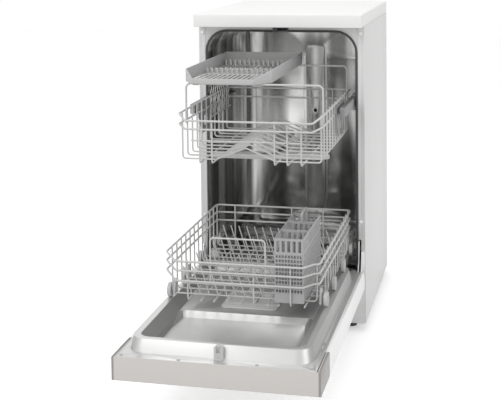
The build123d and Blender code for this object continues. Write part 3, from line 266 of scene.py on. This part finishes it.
# The liner's sides that face along X carry painted shade, at 0.45 of its colour.
liner_steel = steel(
    "liner_steel", (0.68, 0.68, 0.675), 0.34, (1, 0.1, 1), metallic=0.85, spread=0.03, side_shade=0.45,
)
# Painted shade and painted light: shaded and lit copies of the white panel paint, darker on the front frame
# and the side panels and lighter on the door's outer panel, for how light falls on each.
shaded_frame_paint = enamel("shaded_frame_paint", (0.66, 0.66, 0.655), 0.4)
shaded_side_paint = enamel("shaded_side_paint", (0.68, 0.68, 0.675), 0.34)
lit_door_paint = enamel("lit_door_paint", (0.88, 0.88, 0.875), 0.3)
arm_steel = steel("arm_steel", (0.72, 0.72, 0.72), 0.4, (1, 1, 1), metallic=0.7)
tray_plastic = moulded("tray_plastic", (0.48, 0.48, 0.478), 0.42)
bracket_plastic = moulded("bracket_plastic", (0.26, 0.26, 0.262), 0.45)
dull_rail = steel("dull_rail", (0.26, 0.26, 0.262), 0.45, (1, 20, 1), metallic=0.8)
slot_of = {entry["node"]: entry["material_slot"] for entry in frame["record"]["subparts"]}
look_of = {node_name: looks[slot_name] for node_name, slot_name in slot_of.items()}
look_of.update({
    "door_liner": liner_steel,
    "front_frame": shaded_frame_paint,
    "hinge_arms": arm_steel,
    "hinge_brackets": arm_steel,
    "rails": dull_rail,
    "rail_guides": bracket_plastic,
    "side_panel_left": shaded_side_paint,
    "side_panel_right": shaded_side_paint,
    "door_outer_panel": lit_door_paint,
    "top_tray": tray_plastic,
    "upper_rack_brackets": bracket_plastic,
})
for node_name, node in nodes.items():
    if not node.material_slots:
        node.data.materials.append(look_of[node_name])
    for slot in node.material_slots:
        slot.material = look_of[node_name]


# Pieces shaped from meshes
body_of = {
    node_name: body_name
    for body_name, members in frame["record"]["behaviour"]["bodies"].items()
    for node_name in members
}


def add_piece(name, mesh, body, replaced, slot_name, look=None):
    """Link a mesh as a piece that rides on a body and stands for nodes."""
    mesh.materials.clear()
    mesh.materials.append(look or looks[slot_name])
    piece = bpy.data.objects.new(name, mesh)
    scene.collection.objects.link(piece)
    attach(piece, body)
    if replaced:
        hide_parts(*replaced)


def smooth_by_angle(mesh, degrees):
    for polygon in mesh.polygons:
        polygon.use_smooth = True
    mesh.set_sharp_from_angle(angle=math.radians(degrees))


def applied(name, mesh, set_up):
    """The mesh as a modifier leaves it."""
    holder = bpy.data.objects.new(name, mesh)
    scene.collection.objects.link(holder)
    set_up(holder)
    bpy.context.view_layer.update()
    result = bpy.data.meshes.new_from_object(holder.evaluated_get(bpy.context.evaluated_depsgraph_get()))
    bpy.data.objects.remove(holder)
    return result


def bevelled(name, mesh, width, segments=2):
    """The mesh with its sharp edges rounded to a width in millimetres."""
    def set_up(holder):
        bevel = holder.modifiers.new("edges", "BEVEL")
        bevel.width = width * MM
        bevel.segments = segments
        bevel.limit_method = "ANGLE"
        bevel.angle_limit = math.radians(40)
        bevel.use_clamp_overlap = True
        bevel.miter_outer = "MITER_ARC"
    result = applied(name, mesh, set_up)
    smooth_by_angle(result, 38)
    return result


# The band in which the liner's step lies, and how far the step moves back
step_from = -509.0
step_to = -484.0
step_top = 190.0
step_back = 62.0


def set_step_back(work):
    """Move the step between the liner's deep part and its shelf to its place in the photograph."""
    for vert in work.verts:
        if step_from < vert.co.y / MM < step_to and vert.co.z / MM < step_top:
            vert.co.y += step_back * MM


def eased(node_name, width):
    """A node's form with rounded edges and smooth curves, in its place."""
    work = bmesh.new()
    work.from_mesh(nodes[node_name].data)
    bmesh.ops.remove_doubles(work, verts=work.verts, dist=1e-6)
    if node_name == "door_liner":
        set_step_back(work)
    bmesh.ops.join_triangles(
        work,
        faces=work.faces,
        angle_face_threshold=math.radians(0.5),
        angle_shape_threshold=math.radians(120),
    )
    mesh = bpy.data.meshes.new(node_name)
    work.to_mesh(mesh)
    work.free()
    mesh = bevelled(node_name, mesh, width)
    piece_name = node_name + "_eased"
    add_piece(piece_name, mesh, body_of[node_name], [node_name], slot_of[node_name], look_of[node_name])


def lathe(work, profile, centre, outward, segments=40):
    """Turn a profile of (radius, offset along the axis) about an axis, in millimetres."""
    axis = Vector(outward).normalized()
    across = axis.orthogonal().normalized()
    other = axis.cross(across)
    centre = Vector(centre)
    rings = []
    for radius, offset in profile:
        if radius == 0:
            rings.append([work.verts.new((centre + axis * offset) * MM)])
            continue
        ring = []
        for index in range(segments):
            turn = 2 * math.pi * index / segments
            radial = across * math.cos(turn) + other * math.sin(turn)
            ring.append(work.verts.new((centre + axis * offset + radial * radius) * MM))
        rings.append(ring)
    for inner, outer in zip(rings, rings[1:]):
        for index in range(segments):
            after = (index + 1) % segments
            corners = [
                inner[index % len(inner)],
                outer[index % len(outer)],
                outer[after % len(outer)],
                inner[after % len(inner)],
            ]
            work.faces.new(list(dict.fromkeys(corners)))


def turned(name, parts, body, replaced, slot_name):
    """One piece of several turned forms: (profile, centre, outward)."""
    work = bmesh.new()
    for profile, centre, outward in parts:
        lathe(work, profile, centre, outward)
    bmesh.ops.recalc_face_normals(work, faces=work.faces)
    mesh = bpy.data.meshes.new(name)
    work.to_mesh(mesh)
    work.free()
    smooth_by_angle(mesh, 32)
    add_piece(name, mesh, body, replaced, slot_name)


# Wirework
def rounded_spline(curve, points, bend):
    """Add one spline through the points in millimetres, with each corner on an arc."""
    points = [Vector(point) for point in points]
    knots = [(points[0], None, None)]
    for before, corner, after in zip(points, points[1:], points[2:]):
        inward = (corner - before).normalized()
        outward = (after - corner).normalized()
        turn = inward.angle(outward)
        if turn < 0.02:
            continue
        shorter_leg = min((corner - before).length, (after - corner).length)
        reach = min(bend * math.tan(turn / 2), 0.48 * shorter_leg)
        handle = 4 / 3 * math.tan(turn / 4) * reach / math.tan(turn / 2)
        knots.append((corner - inward * reach, None, inward * handle))
        knots.append((corner + outward * reach, -outward * handle, None))
    knots.append((points[-1], None, None))
    spline = curve.splines.new("BEZIER")
    spline.bezier_points.add(len(knots) - 1)
    for index, (place, left, right) in enumerate(knots):
        knot = spline.bezier_points[index]
        knot.handle_left_type = "FREE"
        knot.handle_right_type = "FREE"
        knot.co = place * MM
        back = left if left is not None else (knots[max(index - 1, 0)][0] - place) / 3
        ahead = right if right is not None else (knots[min(index + 1, len(knots) - 1)][0] - place) / 3
        knot.handle_left = (place + back) * MM
        knot.handle_right = (place + ahead) * MM


def wirework(name, groups, body, replaced, slot_name="coated_wire"):
    """One mesh of round wires: groups of (paths, diameter, bend) in millimetres."""
    meshes = []
    for paths, diameter, bend in groups:
        curve = bpy.data.curves.new(name, "CURVE")
        curve.dimensions = "3D"
        curve.bevel_depth = diameter / 2 * MM
        curve.bevel_resolution = 2
        curve.resolution_u = 5
        curve.use_fill_caps = True
        for path in paths:
            rounded_spline(curve, path, bend)
        holder = bpy.data.objects.new(name, curve)
        scene.collection.objects.link(holder)
        bpy.context.view_layer.update()
        depsgraph = bpy.context.evaluated_depsgraph_get()
        meshes.append(bpy.data.meshes.new_from_object(holder.evaluated_get(depsgraph)))
        bpy.data.objects.remove(holder)
    joined = bmesh.new()
    for mesh in meshes:
        joined.from_mesh(mesh)
    result = bpy.data.meshes.new(name)
    joined.to_mesh(result)
    joined.free()
    for polygon in result.polygons:
        polygon.use_smooth = True
    add_piece(name, result, body, replaced, slot_name)


# Wire sizes, in millimetres like all that follows
wire = 4.0
rim = 5.0
gap = 0.1
rim_to_wire = (rim + wire) / 2 + gap
wire_bend = 9.0


def across_wire(left, right, y, run, left_end, right_end):
    """A wire that runs across at one height and turns up or down to its ends."""
    return [(left, y, left_end), (left, y, run), (right, y, run), (right, y, right_end)]


def lengthwise_wire(x, front, back, run, front_end, back_end):
    """A wire that runs front to back at one height and turns up to its ends."""
    return [(x, front, front_end), (x, front, run), (x, back, run), (x, back, back_end)]


# Lower rack
lower_x = -3.0
lower_front = -448.0
lower_back = lower_front + 472.0
lower_half = 184.0
lower_front_rims = (297.0, 275.5, 251.5)
lower_side_rims = (316.0, 296.0, 274.0)
long_z = 205.0
cross_z = long_z + wire + gap
wire_half = lower_half - rim_to_wire
wire_top = 318.0
front_y = lower_front + rim_to_wire
cross_start = lower_front + 40.6
cross_pitch = 38.0
handle_foot = 247.5
handle_top = 355.0
basket_right = 138.0
corner_recess = 36.0
tine = 3.4
tine_pitch = 21.5
tine_length = 67.0
tine_lean = math.radians(17)


def lower_rack():
    left = lower_x - lower_half
    right = lower_x + lower_half
    back = lower_back + rim_to_wire
    rims = []
    for front_z, side_z in zip(lower_front_rims, lower_side_rims):
        rims.append([
            (lower_x, back, side_z),
            (left, back, side_z),
            (left, lower_front + 9, side_z),
            (left + 25, lower_front, front_z),
            (basket_right - 1, lower_front, front_z),
            (basket_right + 21, lower_front + corner_recess, front_z),
            (right - 10, lower_front + corner_recess, front_z),
            (right, lower_front + corner_recess + 18, side_z),
            (right, back, side_z),
            (lower_x, back, side_z),
        ])
    handle = across_wire(-80, 50, front_y, handle_top, handle_foot, handle_foot)
    groups = [(rims, rim, wire_bend), ([handle], wire, wire_bend)]
    wirework("lower_rims", groups, "lower_rack", ["lower_rack_rims"])
    front_top = lower_front_rims[0] + 2
    bent = [lengthwise_wire(x, front_y, lower_back, long_z, front_top, wire_top) for x in (-135, 22, 108)]
    left_end = lower_x - wire_half
    for index in range(12):
        y = cross_start + cross_pitch * index
        right_end = lower_x + wire_half - (13 if index == 0 else 0)
        right_top = lower_side_rims[1] if index == 0 else wire_top
        bent.append(across_wire(left_end, right_end, y, cross_z, wire_top, right_top))
    plain = []
    for x in (-104, -73, -42, -10, 54, 80, 140):
        plain.append([(x, lower_front + 6, long_z), (x, lower_back - 2, long_z)])
    groups = [(bent, wire, wire_bend), (plain, wire, wire_bend)]
    wirework("lower_wires", groups, "lower_rack", ["lower_rack_wires"])
    rise = Vector((-math.sin(tine_lean), 0, math.cos(tine_lean))) * tine_length
    tines = []
    for row, count in ((0, 9), (3, 9), (7, 14), (10, 14)):
        y = cross_start + cross_pitch * row
        for index in range(count):
            foot = Vector((-136 + tine_pitch * index, y, cross_z + wire / 2 - 1))
            tines.append([foot, foot + rise])
    wirework("lower_tines", [(tines, tine, 5)], "lower_rack", ["lower_rack_tines"])


# Upper rack
upper_front = -390.0
upper_back = upper_front + 484.0
upper_half = 172.0
upper_low = 517.0
hoop_half = 166.9
hoop_foot = 600.0
hoop_top = 697.0
hoop_places = (-325.0, 80.0)
ridge_rise = 29.0
zigzag_wire = 2.6
zigzag_x = -161.5


def upper_rack():
    back = upper_back + rim_to_wire
    corner = 20.0
    rims = []
    for front_z, side_z in ((617.0, 631.0), (597.0, 606.0)):
        rims.append([
            (0, back, side_z),
            (-upper_half, back, side_z),
            (-upper_half, upper_front + corner, side_z),
            (-upper_half + corner, upper_front, front_z),
            (upper_half - corner, upper_front, front_z),
            (upper_half, upper_front + corner, side_z),
            (upper_half, back, side_z),
            (0, back, side_z),
        ])
    hoops = [across_wire(-hoop_half, hoop_half, y, hoop_top, hoop_foot, hoop_foot) for y in hoop_places]
    wirework("upper_rims", [(rims, rim, 10), (hoops, rim, 12)], "upper_rack", ["upper_rack_rims"])
    front = upper_front + rim_to_wire
    side = upper_half - rim_to_wire
    high = upper_low + wire + gap
    front_top = 619.0
    side_top = 633.0
    wires = []
    for x in (-118, -88, 62, 92, 125):
        wires.append(lengthwise_wire(x, front, upper_back, upper_low, front_top, side_top))
    for index in range(11):
        y = upper_front + 32 + 43.0 * index
        wires.append([
            (-side, y, side_top),
            (-side, y, high),
            (-85, y, high),
            (-13, y, high + ridge_rise),
            (59, y, high),
            (side, y, high),
            (side, y, side_top),
        ])
    behind_front = front + wire + gap
    across = [(-140, behind_front, 569), (130, behind_front, 569)]
    wirework("upper_wires", [(wires, wire, 7), ([across], wire, 7)], "upper_rack", ["upper_rack_wires"])


# Basket
rightward = (1, 0, 0)
backward = (0, 1, 0)
upward = (0, 0, 1)
moulded_wall = 2.0
basket_left = 70.0
basket_front = -439.0
basket_back = -199.0
basket_bottom = 211.4
basket_height = 149.0
basket_foot = 22.0
basket_band = 112.0


def plate(work, origin, along, up, thickness, along_cuts, up_cuts, hole=None):
    """A plate on a grid of cuts in millimetres, closed round each cell that is a hole."""
    origin, along, up = Vector(origin), Vector(along), Vector(up)
    across = along.cross(up).normalized() * thickness
    corners = {}

    def corner(i, j, side):
        if (i, j, side) not in corners:
            place = origin + along * along_cuts[i] + up * up_cuts[j] + across * side
            corners[i, j, side] = work.verts.new(place * MM)
        return corners[i, j, side]

    columns, rows = len(along_cuts) - 1, len(up_cuts) - 1

    def filled(i, j):
        return 0 <= i < columns and 0 <= j < rows and not (hole and hole(i, j))

    for i in range(columns):
        for j in range(rows):
            if not filled(i, j):
                continue
            square = [(i, j), (i + 1, j), (i + 1, j + 1), (i, j + 1)]
            work.faces.new([corner(*at, 1) for at in square])
            work.faces.new([corner(*at, 0) for at in reversed(square)])
            beyond = [(i, j - 1), (i + 1, j), (i, j + 1), (i - 1, j)]
            for step, next_cell in enumerate(beyond):
                if filled(*next_cell):
                    continue
                start, end = square[step], square[(step + 1) % 4]
                work.faces.new([corner(*start, 0), corner(*end, 0), corner(*end, 1), corner(*start, 1)])


def slots(length, count, share, margin=0.0):
    """Cuts that part a length into a count of even holes; every second cell is a hole."""
    pitch = (length - 2 * margin) / count
    cuts = [0.0]
    for index in range(count):
        middle = margin + pitch * (index + 0.5)
        cuts += [middle - pitch * share / 2, middle + pitch * share / 2]
    return cuts + [length]


def odd_cells(i, j):
    """True for the holes between cuts that slots makes."""
    return i % 2 == 1 and j % 2 == 1


def finished_mesh(name, work):
    bmesh.ops.recalc_face_normals(work, faces=work.faces)
    mesh = bpy.data.meshes.new(name)
    work.to_mesh(mesh)
    work.free()
    return mesh


def slotted_wall(work, start, along, length):
    """A basket wall: solid foot, fine grid, band, tall slots and rim."""
    grid_cuts = slots(length, round((length - 5) / 7.4), 0.62, 2.5)
    grid_rows = slots(basket_band - basket_foot, round((basket_band - basket_foot) / 9.6), 0.66)
    tall_cuts = slots(length, round((length - 5) / 12.4), 0.56, 2.5)
    tall_height = basket_height - basket_band
    tall_rows = [0, 5.5, tall_height - 5.5, tall_height]
    start = Vector(start)
    plate(work, start, along, upward, moulded_wall, [0, length], [0, basket_foot])
    grid_start = start + Vector(upward) * basket_foot
    plate(work, grid_start, along, upward, moulded_wall, grid_cuts, grid_rows, odd_cells)
    band_start = start + Vector(upward) * basket_band
    plate(work, band_start, along, upward, moulded_wall, tall_cuts, tall_rows, odd_cells)


def basket():
    left, right, front, back = basket_left, basket_right, basket_front, basket_back
    bottom = basket_bottom
    width = right - left
    depth = back - front - 2 * moulded_wall
    inner_left = left + moulded_wall
    inner_width = width - 2 * moulded_wall
    inner_front = front + moulded_wall
    work = bmesh.new()
    slotted_wall(work, (left, inner_front, bottom), rightward, width)
    slotted_wall(work, (left, back, bottom), rightward, width)
    for x in (left, right - moulded_wall):
        slotted_wall(work, (x, inner_front, bottom), backward, depth)
    divider_cuts = slots(inner_width, 5, 0.5)
    divider_rows = [0, 14, 66, 76, basket_height - 8, basket_height - 2]
    for y in (front + 81.3, front + 160.7):
        divider_start = (inner_left, y, bottom + moulded_wall)
        plate(work, divider_start, rightward, upward, moulded_wall, divider_cuts, divider_rows, odd_cells)
    floor_start = (inner_left, inner_front, bottom)
    floor_cuts = slots(inner_width, 6, 0.5)
    floor_rows = slots(depth, 20, 0.5)
    plate(work, floor_start, rightward, backward, moulded_wall, floor_cuts, floor_rows, odd_cells)
    mesh = bevelled("slotted_basket", finished_mesh("slotted_basket", work), 0.35, 1)
    add_piece("basket_grid", mesh, "slotted_basket", ["slotted_basket"], "basket_plastic")
    middle = (left + right) / 2
    arch = [
        (middle, back - 8, bottom + 120),
        (middle, back - 8, bottom + 166),
        (middle, front + 165, bottom + 166),
        (middle, front + 165, bottom + 120),
    ]
    wirework("basket_handle", [([arch], 6.5, 10)], "slotted_basket", [], "basket_plastic")


# Tray
tray_left = -172.0
tray_right = 42.0
tray_front = -352.0
tray_back = 95.0
tray_bottom = 699.8
tray_lip = 12.5
tray_side = 31.0
clip_width = 14.0
peg_profile = [(0, 15.5), (1.1, 15.2), (1.9, 13.8), (2.3, 10), (2.9, 0), (0, 0)]


def tray_shell():
    """The tray's walls, its tapered front and its slotted floor."""
    left, right, front, back = tray_left, tray_right, tray_front, tray_back
    bottom = tray_bottom
    wall = moulded_wall
    bay = front + 44
    outline = [
        (left + 27, front, tray_lip),
        (right - 37, front, tray_lip),
        (right, bay - 1, tray_side),
        (right, back, tray_side),
        (left, back, tray_side),
        (left, bay - 1, tray_side),
    ]
    inner = [
        (left + 28, front + wall),
        (right - 38, front + wall),
        (right - wall, bay),
        (right - wall, back - wall),
        (left + wall, back - wall),
        (left + wall, bay),
    ]
    work = bmesh.new()
    rings = [
        [work.verts.new(Vector((x, y, bottom)) * MM) for x, y, z in outline],
        [work.verts.new(Vector((x, y, bottom + z)) * MM) for x, y, z in outline],
        [work.verts.new(Vector((x, y, bottom + edge[2])) * MM) for (x, y), edge in zip(inner, outline)],
        [work.verts.new(Vector((x, y, bottom)) * MM) for x, y in inner],
    ]
    for index in range(6):
        for low, high in zip(rings, rings[1:] + rings[:1]):
            work.faces.new([low[index - 1], low[index], high[index], high[index - 1]])
    tongue = [(left + 28, front + wall), (right - 38, front + wall), (right - wall, bay), (left + wall, bay)]
    lower = [work.verts.new(Vector((x, y, bottom)) * MM) for x, y in tongue]
    upper = [work.verts.new(Vector((x, y, bottom + wall)) * MM) for x, y in tongue]
    work.faces.new(lower)
    work.faces.new(upper)
    for index in range(4):
        work.faces.new([lower[index - 1], lower[index], upper[index], upper[index - 1]])
    depth = back - wall - bay
    cuts = slots(right - left - 2 * wall, 17, 0.48)
    rows = [0, 12, depth * 0.34, depth * 0.38, depth * 0.62, depth * 0.68, depth - 12, depth]
    plate(work, (left + wall, bay, bottom), rightward, backward, wall, cuts, rows, odd_cells)
    mesh = bevelled("top_tray", finished_mesh("top_tray", work), 0.5)
    add_piece("tray_shell", mesh, "top_tray", ["top_tray"], "basket_plastic", tray_plastic)


def tray_pegs():
    """Two double rows of pegs on the tray's floor, and the clips that hold it on the hoops."""
    work = bmesh.new()
    for y, shift in ((-166, 0), (-154, 6), (30, 0), (42, 6)):
        for index in range(15):
            foot = (tray_left + 16 + 13 * index + shift, y, tray_bottom + 1)
            lathe(work, peg_profile, foot, upward, 10)
    for y in hoop_places:
        for x in (tray_left + 30, tray_right - 30):
            for side in (-1, 1):
                start = (x - clip_width / 2, y + side * 3.6 + 0.8, 693.5)
                plate(work, start, rightward, upward, 1.6, [0, clip_width], [0, 6.6])
    mesh = finished_mesh("tray_pegs", work)
    smooth_by_angle(mesh, 35)
    add_piece("tray_pegs", mesh, "top_tray", [], "basket_plastic", tray_plastic)


def zigzag_shelf():
    """The wavy wires that stand at the upper rack's left side."""
    paths = []
    for index in range(9):
        y = -112 + 23.0 * index
        path = [(zigzag_x, y, 580)]
        for step in range(7):
            path.append((zigzag_x, y + (7 if step % 2 else -7), 592 + 13.0 * step))
        path.append((zigzag_x, y, 684))
        paths.append(path)
    tie_x = zigzag_x + 3.3
    ties = [[(tie_x, -122, z), (tie_x, 82, z)] for z in (584.0, 680.0)]
    wirework("zigzag_shelf", [(paths, zigzag_wire, 3), (ties, zigzag_wire, 3)], "upper_rack", [])


# Wheels and rollers
wheel_radius = 17.0
wheel_offset = 186.8
axle_z = 214.3
wheel_places = (-401.0, -282.0, -130.0, 20.0)
roller_radius = 10.2
roller_offset = 191.6
roller_z = 612.0
roller_places = (-160.0, -70.0)
guide_radius = 8.0
guide_offset = 192.0
guide_y = 40.0
guide_z = 591.7


def wheel_profile(radius, width, hub):
    """A roller from its outer hub over the tread to its inner side."""
    half = width / 2
    return [
        (0, half + 0.4),
        (hub - 1.2, half + 0.4),
        (hub, half - 0.2),
        (hub + 0.6, half - 1.6),
        (radius - 3.4, half - 1.6),
        (radius - 2.8, half - 0.3),
        (radius - 0.9, half - 0.1),
        (radius - 0.1, half - 1.0),
        (radius, 0),
        (radius - 0.1, 1.0 - half),
        (radius - 0.9, 0.1 - half),
        (hub, 0.1 - half),
        (0, 0.1 - half),
    ]


def wheels():
    profile = wheel_profile(wheel_radius, 9.0, 6.5)
    for number, y in enumerate(wheel_places, start=1):
        parts = [(profile, (lower_x + side * wheel_offset, y, axle_z), (side, 0, 0)) for side in (-1, 1)]
        name = "lower_wheels_" + str(number)
        turned(name + "_turned", parts, name, [name], "grey_plastic")
    profile = wheel_profile(roller_radius, 8.0, 4.0)
    for number, y in enumerate(roller_places, start=1):
        parts = [(profile, (side * roller_offset, y, roller_z), (-side, 0, 0)) for side in (-1, 1)]
        name = "upper_rollers_" + str(number)
        turned(name + "_turned", parts, name, [name], "grey_plastic")
    profile = wheel_profile(guide_radius, 8.0, 3.8)
    parts = [(profile, (side * guide_offset, guide_y, guide_z), (-side, 0, 0)) for side in (-1, 1)]
    turned("guide_rollers_turned", parts, "guide_rollers", ["guide_rollers"], "grey_plastic")


# Studio
def seen_directly(tree):
    """One for a ray from the camera or by way of a mirror or glass, and nought for others."""
    path = tree.nodes.new("ShaderNodeLightPath")
    total = path.outputs["Is Camera Ray"]
    for name in ("Is Glossy Ray", "Is Transmission Ray"):
        larger = tree.nodes.new("ShaderNodeMath")
        larger.operation = "MAXIMUM"
        tree.links.new(total, larger.inputs[0])
        tree.links.new(path.outputs[name], larger.inputs[1])
        total = larger.outputs["Value"]
    return total


def add_floor():
    """A white floor, lifted to the backdrop's white where it is seen directly."""
    floor = bpy.data.meshes.new("floor")
    floor.from_pydata([(-9, -9, 0), (9, -9, 0), (9, 9, 0), (-9, 9, 0)], [], [(0, 1, 2, 3)])
    ground = bpy.data.objects.new("floor", floor)
    scene.collection.objects.link(ground)
    look = bpy.data.materials.new("floor")
    look.use_nodes = True
    tree = look.node_tree
    plain = tree.nodes["Principled BSDF"]
    plain.inputs["Base Color"].default_value = (0.80, 0.80, 0.80, 1)
    plain.inputs["Roughness"].default_value = 0.9
    paper = tree.nodes.new("ShaderNodeEmission")
    paper.inputs["Strength"].default_value = 0.46
    lifted = tree.nodes.new("ShaderNodeAddShader")
    seen = tree.nodes.new("ShaderNodeMixShader")
    tree.links.new(plain.outputs["BSDF"], lifted.inputs[0])
    tree.links.new(paper.outputs["Emission"], lifted.inputs[1])
    tree.links.new(plain.outputs["BSDF"], seen.inputs[1])
    tree.links.new(lifted.outputs["Shader"], seen.inputs[2])
    tree.links.new(seen_directly(tree), seen.inputs["Fac"])
    tree.links.new(seen.outputs["Shader"], tree.nodes["Material Output"].inputs["Surface"])
    floor.materials.append(look)


def add_world():
    """Even white light, with a brighter white behind the machine."""
    world = bpy.data.worlds.new("studio")
    scene.world = world
    world.use_nodes = True
    tree = world.node_tree
    sky = tree.nodes["Background"]
    sky.inputs["Color"].default_value = (1, 1, 1, 1)
    sky.inputs["Strength"].default_value = 0.62
    backdrop = tree.nodes.new("ShaderNodeBackground")
    backdrop.inputs["Color"].default_value = (1, 1, 1, 1)
    backdrop.inputs["Strength"].default_value = 1.0
    chosen = tree.nodes.new("ShaderNodeMixShader")
    tree.links.new(sky.outputs["Background"], chosen.inputs[1])
    tree.links.new(backdrop.outputs["Background"], chosen.inputs[2])
    tree.links.new(seen_directly(tree), chosen.inputs["Fac"])
    tree.links.new(chosen.outputs["Shader"], tree.nodes["World Output"].inputs["Surface"])


def add_lamps():
    aim = Vector((0, 0, 0.5))
    for name, place, size, power in (
        ("key", (-1.6, -2.6, 2.6), 2.0, 42),
        ("fill", (2.4, -1.4, 1.6), 1.8, 16),
        ("top", (0, 0.2, 3.0), 2.0, 18),
    ):
        lamp = bpy.data.lights.new(name, "AREA")
        lamp.size = size
        lamp.energy = power
        holder = bpy.data.objects.new(name, lamp)
        scene.collection.objects.link(holder)
        holder.location = place
        holder.rotation_euler = (aim - Vector(place)).to_track_quat("-Z", "Y").to_euler()


# The whole scene
edge_widths = {
    "worktop": 1.5,
    "side_panel_left": 0.4,
    "side_panel_right": 0.4,
    "front_frame": 0.35,
    "tub": 0.3,
    "tub_gasket": 0.6,
    "base_tray": 0.6,
    "kick_plate": 0.4,
    "door_outer_panel": 0.4,
    "door_liner": 0.5,
    "console": 1.2,
    "console_end_caps": 0.8,
    "door_latch_hook": 0.5,
    "latch_catch": 0.5,
    "dispenser": 0.8,
    "dispenser_lid": 0.8,
    "rinse_cap": 0.6,
    "hinge_arms": 0.5,
    "hinge_brackets": 0.4,
    "screw_caps": 0.8,
    "lower_wheel_brackets": 0.5,
    "upper_rack_brackets": 0.6,
    "rails": 0.3,
    "rail_guides": 0.6,
    "upper_feed_pipe": 1.2,
    "upper_spray_arm": 1.5,
    "lower_spray_arm": 1.5,
    "back_panel": 0.3,
    "door_screws": 0.3,
    "salt_cap": 0.8,
    "filter_cup": 0.6,
}
add_camera()
lower_rack()
upper_rack()
wheels()
basket()
tray_shell()
tray_pegs()
zigzag_shelf()
for node_name, width in edge_widths.items():
    eased(node_name, width)
add_floor()
add_world()
add_lamps()
scene.view_settings.view_transform = "Standard"
